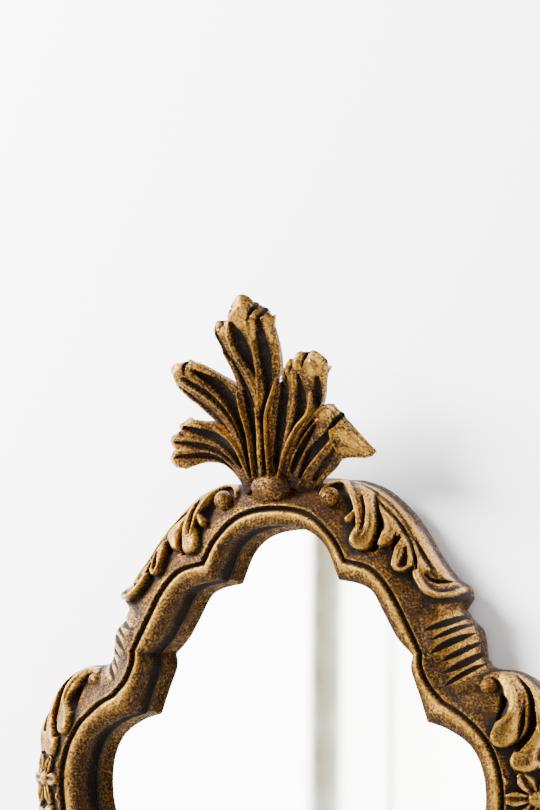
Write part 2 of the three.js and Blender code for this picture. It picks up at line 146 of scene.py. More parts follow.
def linear(hexColour):
    # sRGB hex to linear light
    c = np.array([int(hexColour[i:i + 2], 16) for i in (1, 3, 5)]) / 255
    c = np.where(c <= 0.04045, c / 12.92, ((c + 0.055) / 1.055) ** 2.4)
    return (*c, 1.0)


def newMaterial(name):
    material = bpy.data.materials.new(name)
    material.use_nodes = True
    material.node_tree.nodes.clear()
    return material


def addNode(material, kind, settings=None, inputs=None):
    # one node with its settings; an input that is another node's socket is linked, anything else is its value
    node = material.node_tree.nodes.new(kind)
    for key, value in (settings or {}).items():
        setattr(node, key, value)
    for key, value in (inputs or {}).items():
        if isinstance(value, bpy.types.NodeSocket):
            material.node_tree.links.new(value, node.inputs[key])
        else:
            node.inputs[key].default_value = value
    return node


def fillRamp(node, stops):
    ramp = node.color_ramp
    while len(ramp.elements) < len(stops):
        ramp.elements.new(0.5)
    for element, (place, colour) in zip(ramp.elements, stops):
        element.position = place
        element.color = linear(colour) if isinstance(colour, str) else (colour, colour, colour, 1)


# the umber end of the colours also shows painted shade, and the rubbed end painted highlights
giltLook = {
    "umberAndShade": "#100a05", "brown": "#2f1b0e", "bronze": "#5c3b19", "gold": "#8f6726", "rubbedAndHighlight": "#cf9d45",
    "blotchMm": 8.0, "driftMm": 5.0, "speckleMm": 1.25, "grainMm": 0.5, "metallic": 0.78, "dullness": 0.3,
}


def antiqueGilt(name, look):
    # Bronze-gold leaf over carved wood, toned with umber glaze that was wiped off the high places: the
    # hollows stay nearly black and dull, the ridges are rubbed pale, and fine pits hold specks of glaze. The
    # tone it reads also holds painted shade, in grooves, beside the carving and on sides turned to the wall,
    # and painted highlights on the bead's top and the leaves' rolled tips.
    m = newMaterial(name)
    place = addNode(m, "ShaderNodeTexCoord").outputs["Object"]
    tone = addNode(m, "ShaderNodeAttribute", {"attribute_name": "tone"}).outputs["Fac"]
    blotch = addNode(m, "ShaderNodeTexNoise", None, {
        "Vector": place, "Scale": 1 / (look["blotchMm"] * mm), "Detail": 4.0, "Roughness": 0.6})
    speckle = addNode(m, "ShaderNodeTexNoise", None, {
        "Vector": place, "Scale": 1 / (look["speckleMm"] * mm), "Detail": 3.0, "Roughness": 0.65})
    grain = addNode(m, "ShaderNodeTexNoise", None, {
        "Vector": place, "Scale": 1 / (look["grainMm"] * mm), "Detail": 2.0, "Roughness": 0.5})
    uneven = addNode(m, "ShaderNodeMath", {"operation": "MULTIPLY_ADD"}, {
        0: blotch.outputs["Fac"], 1: 0.5, 2: -0.25})
    toned = addNode(m, "ShaderNodeMath", {"operation": "ADD"}, {0: tone, 1: uneven.outputs[0]})
    # Specks of glaze left in the pits, and flecks of leaf left in the hollows: the noise, made crisp. They
    # come in drifts, and there are fewer of them on the rubbed high places.
    fine = addNode(m, "ShaderNodeMapRange", {"interpolation_type": "SMOOTHSTEP"}, {
        "Value": speckle.outputs["Fac"], "From Min": 0.36, "From Max": 0.62, "To Min": -0.38, "To Max": 0.22})
    drift = addNode(m, "ShaderNodeTexNoise", None, {
        "Vector": place, "Scale": 1 / (look["driftMm"] * mm), "Detail": 2.0, "Roughness": 0.5})
    share = addNode(m, "ShaderNodeMapRange", None, {
        "Value": drift.outputs["Fac"], "From Min": 0.36, "From Max": 0.6, "To Min": 0.4, "To Max": 1.1})
    calm = addNode(m, "ShaderNodeMapRange", None, {
        "Value": tone, "From Min": 0.5, "From Max": 0.95, "To Min": 1.0, "To Max": 0.8})
    share = addNode(m, "ShaderNodeMath", {"operation": "MULTIPLY"}, {
        0: share.outputs["Result"], 1: calm.outputs["Result"]})
    fine = addNode(m, "ShaderNodeMath", {"operation": "MULTIPLY"}, {
        0: fine.outputs["Result"], 1: share.outputs[0]})
    level = addNode(m, "ShaderNodeMath", {"operation": "ADD", "use_clamp": True}, {
        0: toned.outputs[0], 1: fine.outputs[0]})
    colour = addNode(m, "ShaderNodeValToRGB", None, {"Fac": level.outputs[0]})
    fillRamp(colour, [(0.12, look["umberAndShade"]), (0.32, look["brown"]), (0.5, look["bronze"]),
                      (0.7, look["gold"]), (0.97, look["rubbedAndHighlight"])])
    metal = addNode(m, "ShaderNodeMapRange", None, {
        "Value": level.outputs[0], "From Min": 0.15, "From Max": 0.55, "To Min": 0.0,
        "To Max": look["metallic"]})
    rough = addNode(m, "ShaderNodeMapRange", None, {
        "Value": level.outputs[0], "From Min": 0.1, "From Max": 0.9, "To Min": 0.78, "To Max": 0.32})
    bumps = addNode(m, "ShaderNodeMath", {"operation": "MULTIPLY_ADD"}, {
        0: speckle.outputs["Fac"], 1: 0.8, 2: grain.outputs["Fac"]})
    bump = addNode(m, "ShaderNodeBump", None, {
        "Height": bumps.outputs[0], "Strength": 0.7, "Distance": 0.3 * mm})
    shader = addNode(m, "ShaderNodeBsdfPrincipled", None, {
        "Base Color": colour.outputs["Color"], "Metallic": metal.outputs["Result"],
        "Roughness": rough.outputs["Result"], "Normal": bump.outputs["Normal"]})
    shader.inputs["Specular IOR Level"].default_value = look["dullness"]
    addNode(m, "ShaderNodeOutputMaterial", None, {"Surface": shader.outputs["BSDF"]})
    return m


def silveredGlass(name):
    # Silvered float glass seen from its clean side: a near perfect reflection, very slightly cool.
    m = newMaterial(name)
    place = addNode(m, "ShaderNodeTexCoord").outputs["Object"]
    film = addNode(m, "ShaderNodeTexNoise", None, {"Vector": place, "Scale": 1 / (30 * mm), "Detail": 3.0})
    rough = addNode(m, "ShaderNodeMapRange", None, {
        "Value": film.outputs["Fac"], "From Min": 0.4, "From Max": 0.8, "To Min": 0.015, "To Max": 0.05})
    shader = addNode(m, "ShaderNodeBsdfPrincipled", None, {
        "Base Color": linear("#f6f8f6"), "Metallic": 1.0, "Roughness": rough.outputs["Result"]})
    addNode(m, "ShaderNodeOutputMaterial", None, {"Surface": shader.outputs["BSDF"]})
    return m


def plainFinish(name, colours, roughness, metallic, grainMm, bumpMm, stretch=(1, 1, 1)):
    # Two close colours mixed by noise at the real grain size, with the same grain as bump.
    m = newMaterial(name)
    place = addNode(m, "ShaderNodeTexCoord").outputs["Object"]
    scaled = addNode(m, "ShaderNodeMapping", None, {"Vector": place, "Scale": stretch})
    grain = addNode(m, "ShaderNodeTexNoise", None, {
        "Vector": scaled.outputs["Vector"], "Scale": 1 / (grainMm * mm), "Detail": 5.0, "Roughness": 0.6})
    colour = addNode(m, "ShaderNodeValToRGB", None, {"Fac": grain.outputs["Fac"]})
    fillRamp(colour, [(0.35, colours[0]), (0.65, colours[1])])
    rough = addNode(m, "ShaderNodeMapRange", None, {
        "Value": grain.outputs["Fac"], "From Min": 0.3, "From Max": 0.7,
        "To Min": roughness - 0.08, "To Max": roughness + 0.08})
    bump = addNode(m, "ShaderNodeBump", None, {
        "Height": grain.outputs["Fac"], "Strength": 0.5, "Distance": bumpMm * mm})
    shader = addNode(m, "ShaderNodeBsdfPrincipled", None, {
        "Base Color": colour.outputs["Color"], "Roughness": rough.outputs["Result"],
        "Normal": bump.outputs["Normal"]})
    shader.inputs["Metallic"].default_value = metallic
    addNode(m, "ShaderNodeOutputMaterial", None, {"Surface": shader.outputs["BSDF"]})
    return m


gilt = antiqueGilt("bronzeGoldLeaf", giltLook)
glass = silveredGlass("silveredGlass")
boardFinish = plainFinish("softwoodBoard", ("#6b4c31", "#8a6744"), 0.78, 0.0, 1.2, 0.15)
beechFinish = plainFinish("beech", ("#b98f62", "#d3ac7e"), 0.6, 0.0, 2.0, 0.1, (1, 1, 0.1))
brassFinish = plainFinish("rolledBrass", ("#8f6c2f", "#b8924a"), 0.36, 1.0, 0.8, 0.03, (1, 1, 6))
steelFinish = plainFinish("zincPlatedSteel", ("#84878b", "#a7a9ac"), 0.34, 1.0, 0.6, 0.03)
feltFinish = plainFinish("pressedFelt", ("#2d302c", "#454a43"), 0.95, 0.0, 0.5, 0.3)
print("materials made")


# One quarter of the outline. bead is the edge of the opening and ridge the crest of the moulding, both
# numbered 0 to 15 from the top of the arch to the waist; they meet in cusps at 3, 8 and 11. The outer
# edge has its own knots on the same numbering, because it follows the carving's silhouette.
outline = {
    "cusps": [0, 3, 8, 11, 15],
    "bead": [(0, 141), (18, 138), (30, 129), (38, 111), (50, 108.5), (58, 104), (64, 93.5), (72, 80),
             (81, 71), (80, 64), (84, 52), (89, 37), (101, 33), (113, 25), (119, 14), (121, 0)],
    "ridge": [(0, 147.5), (20, 144), (34, 132), (41.5, 119), (55, 115.5), (63, 109), (70, 99), (77, 86),
              (84.2, 72), (84.5, 65), (89, 55), (97, 46), (107, 40.5), (119, 30), (126, 17), (129, 0)],
    "edge": {0: (0, 168), 1: (29, 167), 2: (53, 160), 3: (70, 146), 4: (79, 134), 5: (87, 121),
             5.6: (95, 111), 6: (103, 106), 6.2: (105, 101), 6.45: (101, 95.5), 6.8: (105, 90),
             7.3: (110, 85), 7.7: (111.5, 80), 8: (112, 76), 9: (113, 70), 10: (117, 65), 11: (130, 62.5),
             12: (144, 54), 13: (153, 38), 14: (160, 20), 15: (164, 0)},
    "edgeCusps": [0, 6.2, 6.45, 7.7, 9, 15],
}


def cuspedCurve(knots, values, breaks, t):
    # The Hermite curve of each stretch between two breaks, so that its slope may jump at a break. The mirror
    # images of the second and the last but one point stand beyond the ends, so that the curve crosses the
    # centre line and the waist square.
    knots, values = np.asarray(knots, float), np.asarray(values, float)
    knots = np.r_[knots[0] - 1, knots, knots[-1] + 1]
    values = np.vstack([values[1] * (-1, 1), values, values[-2] * (1, -1)])
    out = np.zeros((len(t), 2))
    for low, high in zip(breaks[:-1], breaks[1:]):
        first, last = low == breaks[0], high == breaks[-1]
        inside = (knots >= low - first) & (knots <= high + last)
        here = (t >= low) & (t <= high)
        out[here] = through(knots[inside], values[inside], t[here])
    return out


def quarterOutline(t):
    numbers = np.arange(len(outline["bead"]))
    bead = cuspedCurve(numbers, outline["bead"], outline["cusps"], t)
    ridge = cuspedCurve(numbers, outline["ridge"], outline["cusps"], t)
    edge = cuspedCurve(list(outline["edge"]), list(outline["edge"].values()), outline["edgeCusps"], t)
    return bead, ridge, edge


def evenly(low, high, step):
    # station numbers between low and high that lie about step mm apart, midway between ridge and edge
    fine = np.linspace(low, high, 2000)
    _, ridge, edge = quarterOutline(fine)
    middle = (ridge + edge) / 2
    length = np.r_[0, np.cumsum(np.linalg.norm(np.diff(middle, axis=0), axis=1))]
    count = max(int(length[-1] / step), 4)
    return np.interp(np.linspace(0, length[-1], count + 1), length, fine)


def stroke(p, line, width, height, shape):
    # Raised or cut stroke: the distance from each point to the smooth line through the given points is
    # divided by the half-width there, and shape turns that share into a share of the height there. width and
    # height are one number each, or a list of them spread along the line.
    count = 48
    spine = path(line, count)
    w = path(np.reshape(width, (-1, 1)), count)[:, 0] if np.ndim(width) else np.full(count, float(width))
    h = path(np.reshape(height, (-1, 1)), count)[:, 0] if np.ndim(height) else np.full(count, float(height))
    reach = w.max() * 1.05
    near = np.all((p > spine.min(0) - reach) & (p < spine.max(0) + reach), axis=1)
    out = np.zeros(len(p))
    if near.any():
        q = p[near]
        a, b = spine[:-1], spine[1:]
        ab = b - a
        t = np.clip(((q[:, None] - a) * ab).sum(-1) / (ab**2).sum(-1), 0, 1)
        gap = np.linalg.norm(q[:, None] - (a + t[..., None] * ab), axis=-1)
        i = gap.argmin(1)
        rows = np.arange(len(q))
        part = i + t[rows, i]
        share = gap[rows, i] / np.maximum(np.interp(part, np.arange(count), w), 1e-3)
        out[near] = np.interp(part, np.arange(count), h) * shape(share)
    return out


def rounded(share):
    # half an ellipse across the stroke
    return np.sqrt(np.clip(1 - share**2, 0, 1))


def plump(share):
    # flatter on top, with steep sides
    return np.clip(1 - share**4, 0, 1) ** 0.6


def vee(share):
    # straight sides to a sharp line
    return np.clip(1 - share, 0, 1)


def domed(share):
    # a soft swelling, level on top and fading out at its edges
    return np.clip(1 - share**2, 0, 1) ** 1.5


def cupped(share):
    # raised rim round a hollow
    return np.clip(1 - share**6, 0, 1) ** 0.5 * (0.45 + 0.55 * smooth(0.15, 0.8, share))


shoulderLeaf = {
    "boldness": 1.3,
    # each band: points along it, half-widths, heights
    "bands": [
        ([(40, 163.5), (56, 159.6), (70, 148), (80, 132.5), (88, 119), (96, 111.5)], [4.5, 7.5, 9, 9, 8, 5],
         [3.2, 4.2, 4.6, 4.6, 4.8, 5]),
        ([(38, 161.5), (46, 156), (51.5, 149.5), (54.4, 142), (52.2, 132.6)], [2.6, 5, 6.2, 6.4, 6.7],
         [3.5, 4.6, 5, 5.2, 5.2]),
        ([(55, 158), (62.5, 150.5), (66, 142.5), (66, 136.5), (63, 132.4)], [4, 6.4, 6, 5, 4.4],
         [4, 4.6, 4.6, 4.6, 4.6]),
        ([(66, 152), (72, 143), (75.4, 134), (75.2, 126), (74.2, 119)], [4, 6, 5.2, 4.2, 4.9],
         [4, 4.6, 4.6, 4.8, 5.2]),
    ],
    "rims": [
        ([(25.8, 157.4), (27.4, 161.4), (31.4, 163.2), (36.8, 161.6), (42.9, 155.4), (47.1, 148.3),
          (49.6, 141), (50.6, 134)],
         [0.8, 1.3, 1.4, 1.3, 1.3, 1.2, 1.2, 1.2], [2, 3.6, 4.6, 5.6, 6.2, 6.3, 6.2, 5.4]),
        ([(47.5, 156), (51.6, 149.4), (53.6, 143), (54.2, 137), (52.4, 132.4)],
         1.1, [4.8, 5.9, 6.2, 6.1, 5.4]),
        ([(50, 158.6), (58, 152.4), (66.4, 144), (74, 133.8), (79.4, 123)], 1.1, [4.6, 5.4, 5.6, 5.6, 5.2]),
        ([(52, 161), (64, 153), (74, 141), (82, 127.6), (88, 116.6)], 1.2, [4.6, 5.4, 5.6, 5.6, 5.2]),
        ([(72, 132), (70.6, 124.4), (71.2, 118), (74.4, 115.2), (77.6, 117.6)], 1.2, [5, 6, 6.4, 6.2, 5.2]),
    ],
    "cuts": [
        ([(47.9, 153.4), (50.4, 148), (51.7, 142), (51.8, 137)], 1.0, [1.4, 3.4, 3.6, 1.6], vee),
        ([(53, 154.4), (56.8, 147), (59.6, 140), (59.6, 133), (57.6, 127)], [0.5, 1.2, 1.7, 1.9, 1.7],
         [1.5, 5.5, 7.2, 7.4, 6], rounded),
        ([(43.5, 161), (52.5, 156.3), (60.5, 150), (70, 139.4), (77.4, 128), (83.8, 117.8), (88.2, 112)], 1.0,
         [1, 2.8, 3.2, 3.3, 3.3, 3, 1], vee),
        ([(54, 153.4), (60, 147.4), (67.4, 139.4), (73.6, 131.4), (78.3, 122.3), (80.3, 115.6)], 1.0,
         [1, 2.4, 3, 3.2, 3.8, 4.4], vee),
        ([(67.8, 134.6), (68.2, 131), (68.6, 127.6)], [0.3, 1.1, 1.9], [3, 5.5, 6], rounded),
    ],
    "smallDrop": ([(46.8, 147), (45.6, 144.6), (44.6, 143.4)], [1.3, 2.4, 2.7], 5.4),
    "eyelet": ([(74, 126.6), (74.6, 122.4), (74.4, 118.6)], [0.7, 1.6, 2.2], 3.4),
    "scoop": {
        "mass": ([(84, 124), (88, 115), (93.6, 108.2), (100.6, 106)], [7, 7.5, 6.2, 2.8], [4.8, 5.4, 5.8, 5]),
        "rim": ([(80, 117.6), (81.6, 111.8), (86.4, 105.6), (92, 102.2), (97.4, 102.4), (100.8, 105),
                 (101.6, 107.4)], [1.4, 1.6, 1.7, 1.7, 1.7, 1.6, 1.4], [5.4, 6.2, 6.6, 6.6, 6.6, 6.2, 5.6]),
        "hollow": ([(84.6, 113), (88.6, 108.2), (94, 105.6), (99, 106.4)],
                   [1.8, 3.4, 3.6, 2.0], [2, 3.0, 3.0, 1.8]),
        "flap": ([(84.4, 112.4), (87.6, 110), (91.8, 108.8), (97.4, 109.2)], [0.5, 0.9, 0.9, 0.5], 2.8),
    },
}


def leafRelief(p):
    height = np.zeros(len(p))
    for line, width, rise in shoulderLeaf["bands"]:
        height = np.maximum(height, stroke(p, line, width, rise, plump))
    for line, width, rise in shoulderLeaf["rims"]:
        height = np.maximum(height, stroke(p, line, width, rise, rounded))
    height = np.maximum(height, stroke(p, *shoulderLeaf["smallDrop"], rounded))
    scoop = shoulderLeaf["scoop"]
    height = np.maximum(height, stroke(p, *scoop["mass"], plump))
    height = height - stroke(p, *scoop["hollow"], rounded)
    height = np.maximum(height, stroke(p, *scoop["rim"], rounded))
    height = height - stroke(p, *scoop["flap"], vee)
    for line, width, depth, shape in shoulderLeaf["cuts"]:
        height -= stroke(p, line, width, depth, shape)
    height -= stroke(p, *shoulderLeaf["eyelet"], rounded)
    return height * shoulderLeaf["boldness"]


ribs = {"count": 6, "outerFrom": (105, 96), "outerTo": (116, 66), "innerFrom": (88, 87), "innerTo": (102, 54),
        "halfWidth": 1.7, "depth": 3.4, "swell": 2.2, "swellWidths": [11, 14, 9]}


def ribRelief(p):
    # a low swelling with slanted gouges across it, pointed at both ends
    outer0, outer1, inner0, inner1 = (np.array(ribs[k], float) for k in
                                      ("outerFrom", "outerTo", "innerFrom", "innerTo"))
    middle = [(outer0 + inner0) / 2, (outer0 + outer1 + inner0 + inner1) / 4, (outer1 + inner1) / 2]
    height = stroke(p, middle, ribs["swellWidths"], ribs["swell"], lambda share: np.clip(1 - share**2, 0, 1))
    for k in range(ribs["count"]):
        t = (k + 0.5) / ribs["count"]
        start = inner0 + (inner1 - inner0) * t
        end = outer0 + (outer1 - outer0) * t
        reach = end - start
        start, end = start + reach * 0.1 * np.sin(k * 2.3), end - reach * 0.07 * np.sin(k * 4.1)
        bow = (start + end) / 2 + (end - start)[::-1] * (0.03, -0.03) * np.cos(k * 1.7)
        wide = np.array([0.25, 0.85, 1.0, 0.8, 0.2]) * ribs["halfWidth"] * (1 + 0.18 * np.sin(k * 3.1 + 1))
        line = path([start, bow, end], 5)
        height -= stroke(p, line, wide, ribs["depth"] * np.array([0.4, 0.9, 1, 0.9, 0.3]), rounded)
    return height


sideScroll = {
    "boldness": 1.25,
    "bands": [
        ([(119, 61), (125, 59.5), (130.5, 54), (133, 47), (132, 39), (131.5, 31)], [1.8, 3, 4, 4.6, 5.2, 6.2],
         [3, 4.5, 5, 5.2, 5.4, 5.6]),
        ([(128, 61), (137, 55), (142, 46), (144, 35), (141.5, 19)], [2.4, 4.2, 5, 5.2, 6.6],
         [3.6, 4.4, 4.6, 4.8, 5.4]),
        ([(134, 61), (145, 53), (151.5, 41), (154, 28), (153, 18)], [2, 4, 5, 5, 4], [3.5, 4.4, 4.6, 4.4, 3]),
    ],
    "rims": [
        ([(117, 60), (123, 60.5), (129, 55.2), (133, 48.8), (133.4, 43.1), (130.5, 38.3), (127.5, 32.5)],
         1.5, [3, 5, 6.4, 7, 7, 6.4, 5.6]),
        ([(131, 60.6), (140, 51.5), (144, 41), (146, 32)], 1.4, [4.6, 6.2, 6.4, 5.6]),
    ],
    "cuts": [
        ([(127, 51), (129, 47), (129, 42.5), (127.5, 39)], [0.8, 2.2, 2.4, 1.2], 4.5, rounded),
        ([(130, 60), (138, 52), (141.6, 42), (142, 33), (138, 25)], [0.6, 1.2, 1.5, 1.8, 2],
         [2, 4.5, 5.5, 6.5, 6.5], rounded),
        ([(136, 60), (145, 50), (149.5, 38), (151, 26)], 1.0, [1.4, 3, 3.4, 2], vee),
        ([(147.5, 27), (148, 20)], [0.8, 2], [3, 5.5], rounded),
    ],
}


def scrollRelief(p):
    height = np.zeros(len(p))
    for line, width, rise in sideScroll["bands"]:
        height = np.maximum(height, stroke(p, line, width, rise, plump))
    for line, width, rise in sideScroll["rims"]:
        height = np.maximum(height, stroke(p, line, width, rise, rounded))
    for line, width, depth, shape in sideScroll["cuts"]:
        height -= stroke(p, line, width, depth, shape)
    return height * sideScroll["boldness"]


rosette = {"centre": (147, 0), "petals": 7, "inner": 5.0, "outer": 12.5, "beads": 13, "beadRing": 16.5}


def rosetteRelief(p):
    # petals round a button, inside a ring of beads; the quarter holds half of it
    centre = np.array(rosette["centre"], float)
    height = np.zeros(len(p))
    for k in range(rosette["petals"]):
        a = np.pi * (k / (rosette["petals"] - 1) * 2 - 1)
        way = np.array([np.cos(a), np.sin(a)])
        inner, outer = rosette["inner"], rosette["outer"]
        line = [centre + way * inner * 0.6, centre + way * (inner + outer) / 2, centre + way * outer]
        height = np.maximum(height, stroke(p, line, [1.8, 3.4, 2.2], [3.5, 5.0, 4.2], cupped))
    for k in range(rosette["beads"]):
        a = np.pi * (k / (rosette["beads"] - 1) * 2 - 1)
        at = centre + np.array([np.cos(a), np.sin(a)]) * rosette["beadRing"]
        height = np.maximum(height, stroke(p, [at, at + 0.01], 2.1, 3.0, rounded))
    return np.maximum(height, stroke(p, [centre, centre + 0.01], 4.2, 5.5, rounded))


section = {
    "ridgeY": -37.0, "beadY": -31.5, "edgeY": -11.0, "backY": -3.0, "lipY": -15.3, "rebate": 9.0, "lip": 0.8,
    "coveDepth": 2.4, "quirkGap": 0.9, "quirkDrop": 0.3, "quirk": 3.3, "quirkDepth": 2.6,
    "fillet": 0.9, "filletWidth": 2.6, "backChamfer": 5.0, "sideSwell": 1.0,
    # station number and the power by which the face falls there, then station number and how far it dips
    "fall": [(0, 2.6), (6.5, 2.4), (8.5, 1.9), (11, 1.3), (15, 1.4)],
    "hollow": [(0, 3.2), (5, 4.2), (7, 1.6), (15, 1.4)],
    "hollowEnd": 0.85, "faceSamples": 74, "step": 0.52,
}


# how much gilding shows, from 0 for a hollow full of umber to 1 for a ridge rubbed bright; the near black at
# the glass and in the quirk and the darkening beside the carving are painted shade, and the bright top of the
# bead is rubbed gilding and painted highlight; onFillet, shadeBesideCarving, onCarving and perProudMm are
# added to face where they apply
glazeAndPaintedLight = {
    "rebate": 0.2, "lip": 0.05, "coveLipShade": 0.08, "coveBead": 0.5, "beadSide": 0.46, "beadTopWornAndLit": 0.86,
    "quirkTop": 0.7, "quirkFloorShade": 0.04, "face": 0.45, "onFillet": 0.2, "shadeBesideCarving": -0.24,
    "onCarving": 0.14, "perProudMm": 0.34, "most": 0.88, "outerSide": 0.36, "back": 0.25,
}


def mouldingQuarter(t):
    # Grid of one quarter: rows are stations, columns go round the section from the back of the rebate over
    # the cove, bead, quirk and face to the outer edge and the back. Returns plan, depth and tone.
    s, g = section, glazeAndPaintedLight
    bead, ridge, edge = quarterOutline(t)
    out = (edge - bead) / np.linalg.norm(edge - bead, axis=1)[:, None]
    columns, depths, tones = [], [], []

    def fromBead(d):
        return bead[:, None] + out[:, None] * np.reshape(d, (1, -1, 1))

    def put(plan, y, tone):
        columns.append(plan)
        depths.append(np.broadcast_to(y, plan.shape[:2]))
        tones.append(np.broadcast_to(tone, plan.shape[:2]))

    put(fromBead(np.full(4, s["rebate"])), np.linspace(s["backY"], s["lipY"], 4), g["rebate"])
    # the flat lip beside the glass is toned nearly black: painted shade of the undercut there
    put(fromBead(np.linspace(s["rebate"], s["lip"], 4)[1:]), s["lipY"], g["lip"])
    # cove: half a sine wave hollowed between its lip at the glass and the bead; its tone darkens towards the
    # glass as painted shade of the undercut there
    k = np.linspace(0, 1, 22)[1:]
    cove = s["lip"] * (1 - k) + s["coveDepth"] * np.sin(np.pi * k) ** 0.8
    put(fromBead(cove), s["lipY"] + (s["beadY"] - s["lipY"]) * k,
        g["coveLipShade"] + (g["coveBead"] - g["coveLipShade"]) * smooth(0.05, 0.5, k))
    # bead: a quarter ellipse from the bead's edge up to the ridge; the bright line along its top is rubbed
    # gilding and painted highlight
    a = np.linspace(0.08, 1.0, 11) * np.pi / 2
    plan = bead[:, None] + (ridge - bead)[:, None] * (1 - np.cos(a))[None, :, None]
    put(plan, s["beadY"] + (s["ridgeY"] - s["beadY"]) * np.sin(a),
        g["beadSide"] + (g["beadTopWornAndLit"] - g["beadSide"]) * np.sin(a) ** 9)
    # quirk: a narrow vee just outside the ridge, toned nearly black at its floor as painted shade
    k = np.linspace(0, 1, 10)[1:]
    plan = ridge[:, None] + out[:, None] * (s["quirkGap"] + s["quirk"] * k)[None, :, None]
    lipY = s["ridgeY"] + s["quirkDrop"]
    dip = s["quirkDepth"] * np.sin(np.pi * k) ** 1.4 - s["fillet"] * smooth(0.6, 1, k)
    put(plan, lipY + dip, g["quirkTop"] - (g["quirkTop"] - g["quirkFloorShade"]) * np.sin(np.pi * k) ** 0.9)
    # face: falls to the outer edge as a power of the distance, steeper at first beside the waist, and dips in
    # its middle by a squared sine wave
    start = ridge + out * (s["quirkGap"] + s["quirk"])
    f = np.linspace(0, 1, s["faceSamples"])[1:]
    face = start[:, None] + (edge - start)[:, None] * f[None, :, None]
    fall = np.interp(t, *np.array(s["fall"]).T)[:, None]
    faceY = lipY + (s["edgeY"] - lipY) * f**fall
    hollow = np.interp(t, *np.array(s["hollow"]).T)[:, None]
    faceY = faceY + hollow * np.sin(np.pi * np.clip(f / s["hollowEnd"], 0, 1)) ** 2
    # a low fillet runs along the outer lip of the quirk
    across = np.linalg.norm(face - start[:, None], axis=-1)
    fillet = np.cos(np.pi / 2 * np.clip(across / s["filletWidth"], 0, 1)) ** 2
    faceY = faceY - s["fillet"] * fillet
    relief = np.zeros(faceY.shape)
    p = face.reshape(-1, 2)
    for carve in (leafRelief, ribRelief, scrollRelief, rosetteRelief):
        h = carve(p).reshape(relief.shape)
        relief = np.where(h > 0, np.maximum(relief, h), relief + h)
    relief = relief * smooth(0, 0.06, f) * (1 - 0.8 * smooth(0.9, 1, f))
    # the carving stands square to the face, which turns from the front towards the side
    lean = (np.pi / 3) * f**2
    face = face + out[:, None] * (softened(relief, 6) * np.sin(lean))[..., None]
    faceY = faceY - relief * np.cos(lean)
    proud = relief - softened(relief, 5)
    # painted shade: the ground round the carving is toned darker where the carving stands over it
    shadowed = smooth(0.1, 1.3, softened(np.maximum(relief, 0), 10)) * (1 - smooth(0.2, 1.2, relief))
    ground = g["face"] + g["onFillet"] * fillet + g["shadeBesideCarving"] * shadowed
    lifted = g["onCarving"] * smooth(0.6, 3.5, relief) + g["perProudMm"] * np.clip(proud, -1.3, 1.0)
    put(face, faceY, np.clip(ground + lifted, 0, g["most"]))
    # outer side: rounds over at the edge and leans in to the wall
    k = np.linspace(0, 1, 13)[1:]
    rim = face[:, -1:]
    away = -s["backChamfer"] * smooth(0.4, 1, k) + s["sideSwell"] * np.sin(np.pi * k)
    side = rim + out[:, None] * away[None, :, None]
    put(side, faceY[:, -1:] + (s["backY"] - faceY[:, -1:]) * k, g["outerSide"])
    inner = fromBead(np.array([s["rebate"]]))
    k = np.linspace(0, 1, 6)[1:-1]
    put(side[:, -1:] + (inner - side[:, -1:]) * k[None, :, None], s["backY"], g["back"])
    return np.concatenate(columns, 1), np.concatenate(depths, 1), np.concatenate(tones, 1)


def turned(plan, left, lower):
    plan = plan.copy()
    if left:
        plan[..., 0] *= -1
    if lower:
        plan[..., 1] *= -waist["lowerStretch"]
    return plan


def placed(plan, y):
    return np.stack([plan[..., 0], np.broadcast_to(y, plan.shape[:-1]), waist["z"] + plan[..., 1]], -1)


def handworn(points):
    # hand carving: slow unevenness over the whole surface and small tool marks, on the front only
    uneven = 0.22 * ripple(points, 26, 3) + 0.08 * ripple(points, 7, 4) + 0.05 * ripple(points, 2.6, 5)
    front = smooth(-8, -20, points[:, 1])
    return points + np.array([0, 1, 0]) * (uneven * front)[:, None]


def rail(name, quarters, nodes):
    # quarters are (grid, left, lower, backwards) joined end to end, each sharing its first row with the last
    parts = []
    for (plan, y, tone), left, lower, backwards in quarters:
        rows = np.concatenate([placed(turned(plan, left, lower), y), tone[..., None]], -1)
        rows = rows[::-1] if backwards else rows
        parts.append(rows[1:] if parts else rows)
    grid = np.concatenate(parts, 0)
    rows, columns = grid.shape[:2]
    points = handworn(grid[..., :3].reshape(-1, 3))
    caps = [np.arange(columns), (rows - 1) * columns + np.arange(columns)[::-1]]
    quads = tubeFaces(rows, columns)[:, ::-1]
    piece = makeMesh(name, points, quads, caps, grid[..., 3])
    return finishPiece(piece, gilt, nodes)


headRows = np.concatenate([evenly(0, 3, section["step"]), evenly(3, 8, section["step"])[1:]])
sideRows = np.concatenate([evenly(8, 11, section["step"]), evenly(11, 15, section["step"])[1:]])
head, side = mouldingQuarter(headRows), mouldingQuarter(sideRows)
rail("carvedTopRail", [(head, True, False, True), (head, False, False, False)],
     ["top_rail", "shoulder_leaf_top_left", "ribbed_shell_top_left", "shoulder_leaf_top_right",
      "ribbed_shell_top_right"])
rail("carvedBottomRail", [(head, True, True, True), (head, False, True, False)],
     ["bottom_rail", "shoulder_leaf_bottom_left", "ribbed_shell_bottom_left", "shoulder_leaf_bottom_right",
      "ribbed_shell_bottom_right"])
for hand, left in (("left", True), ("right", False)):
    rail(f"carved{hand.title()}Stile", [(side, left, False, False), (side, left, True, True)],
         [f"{hand}_stile", f"side_scroll_top_{hand}", f"side_scroll_bottom_{hand}", f"waist_flower_{hand}"])
print("rails carved")


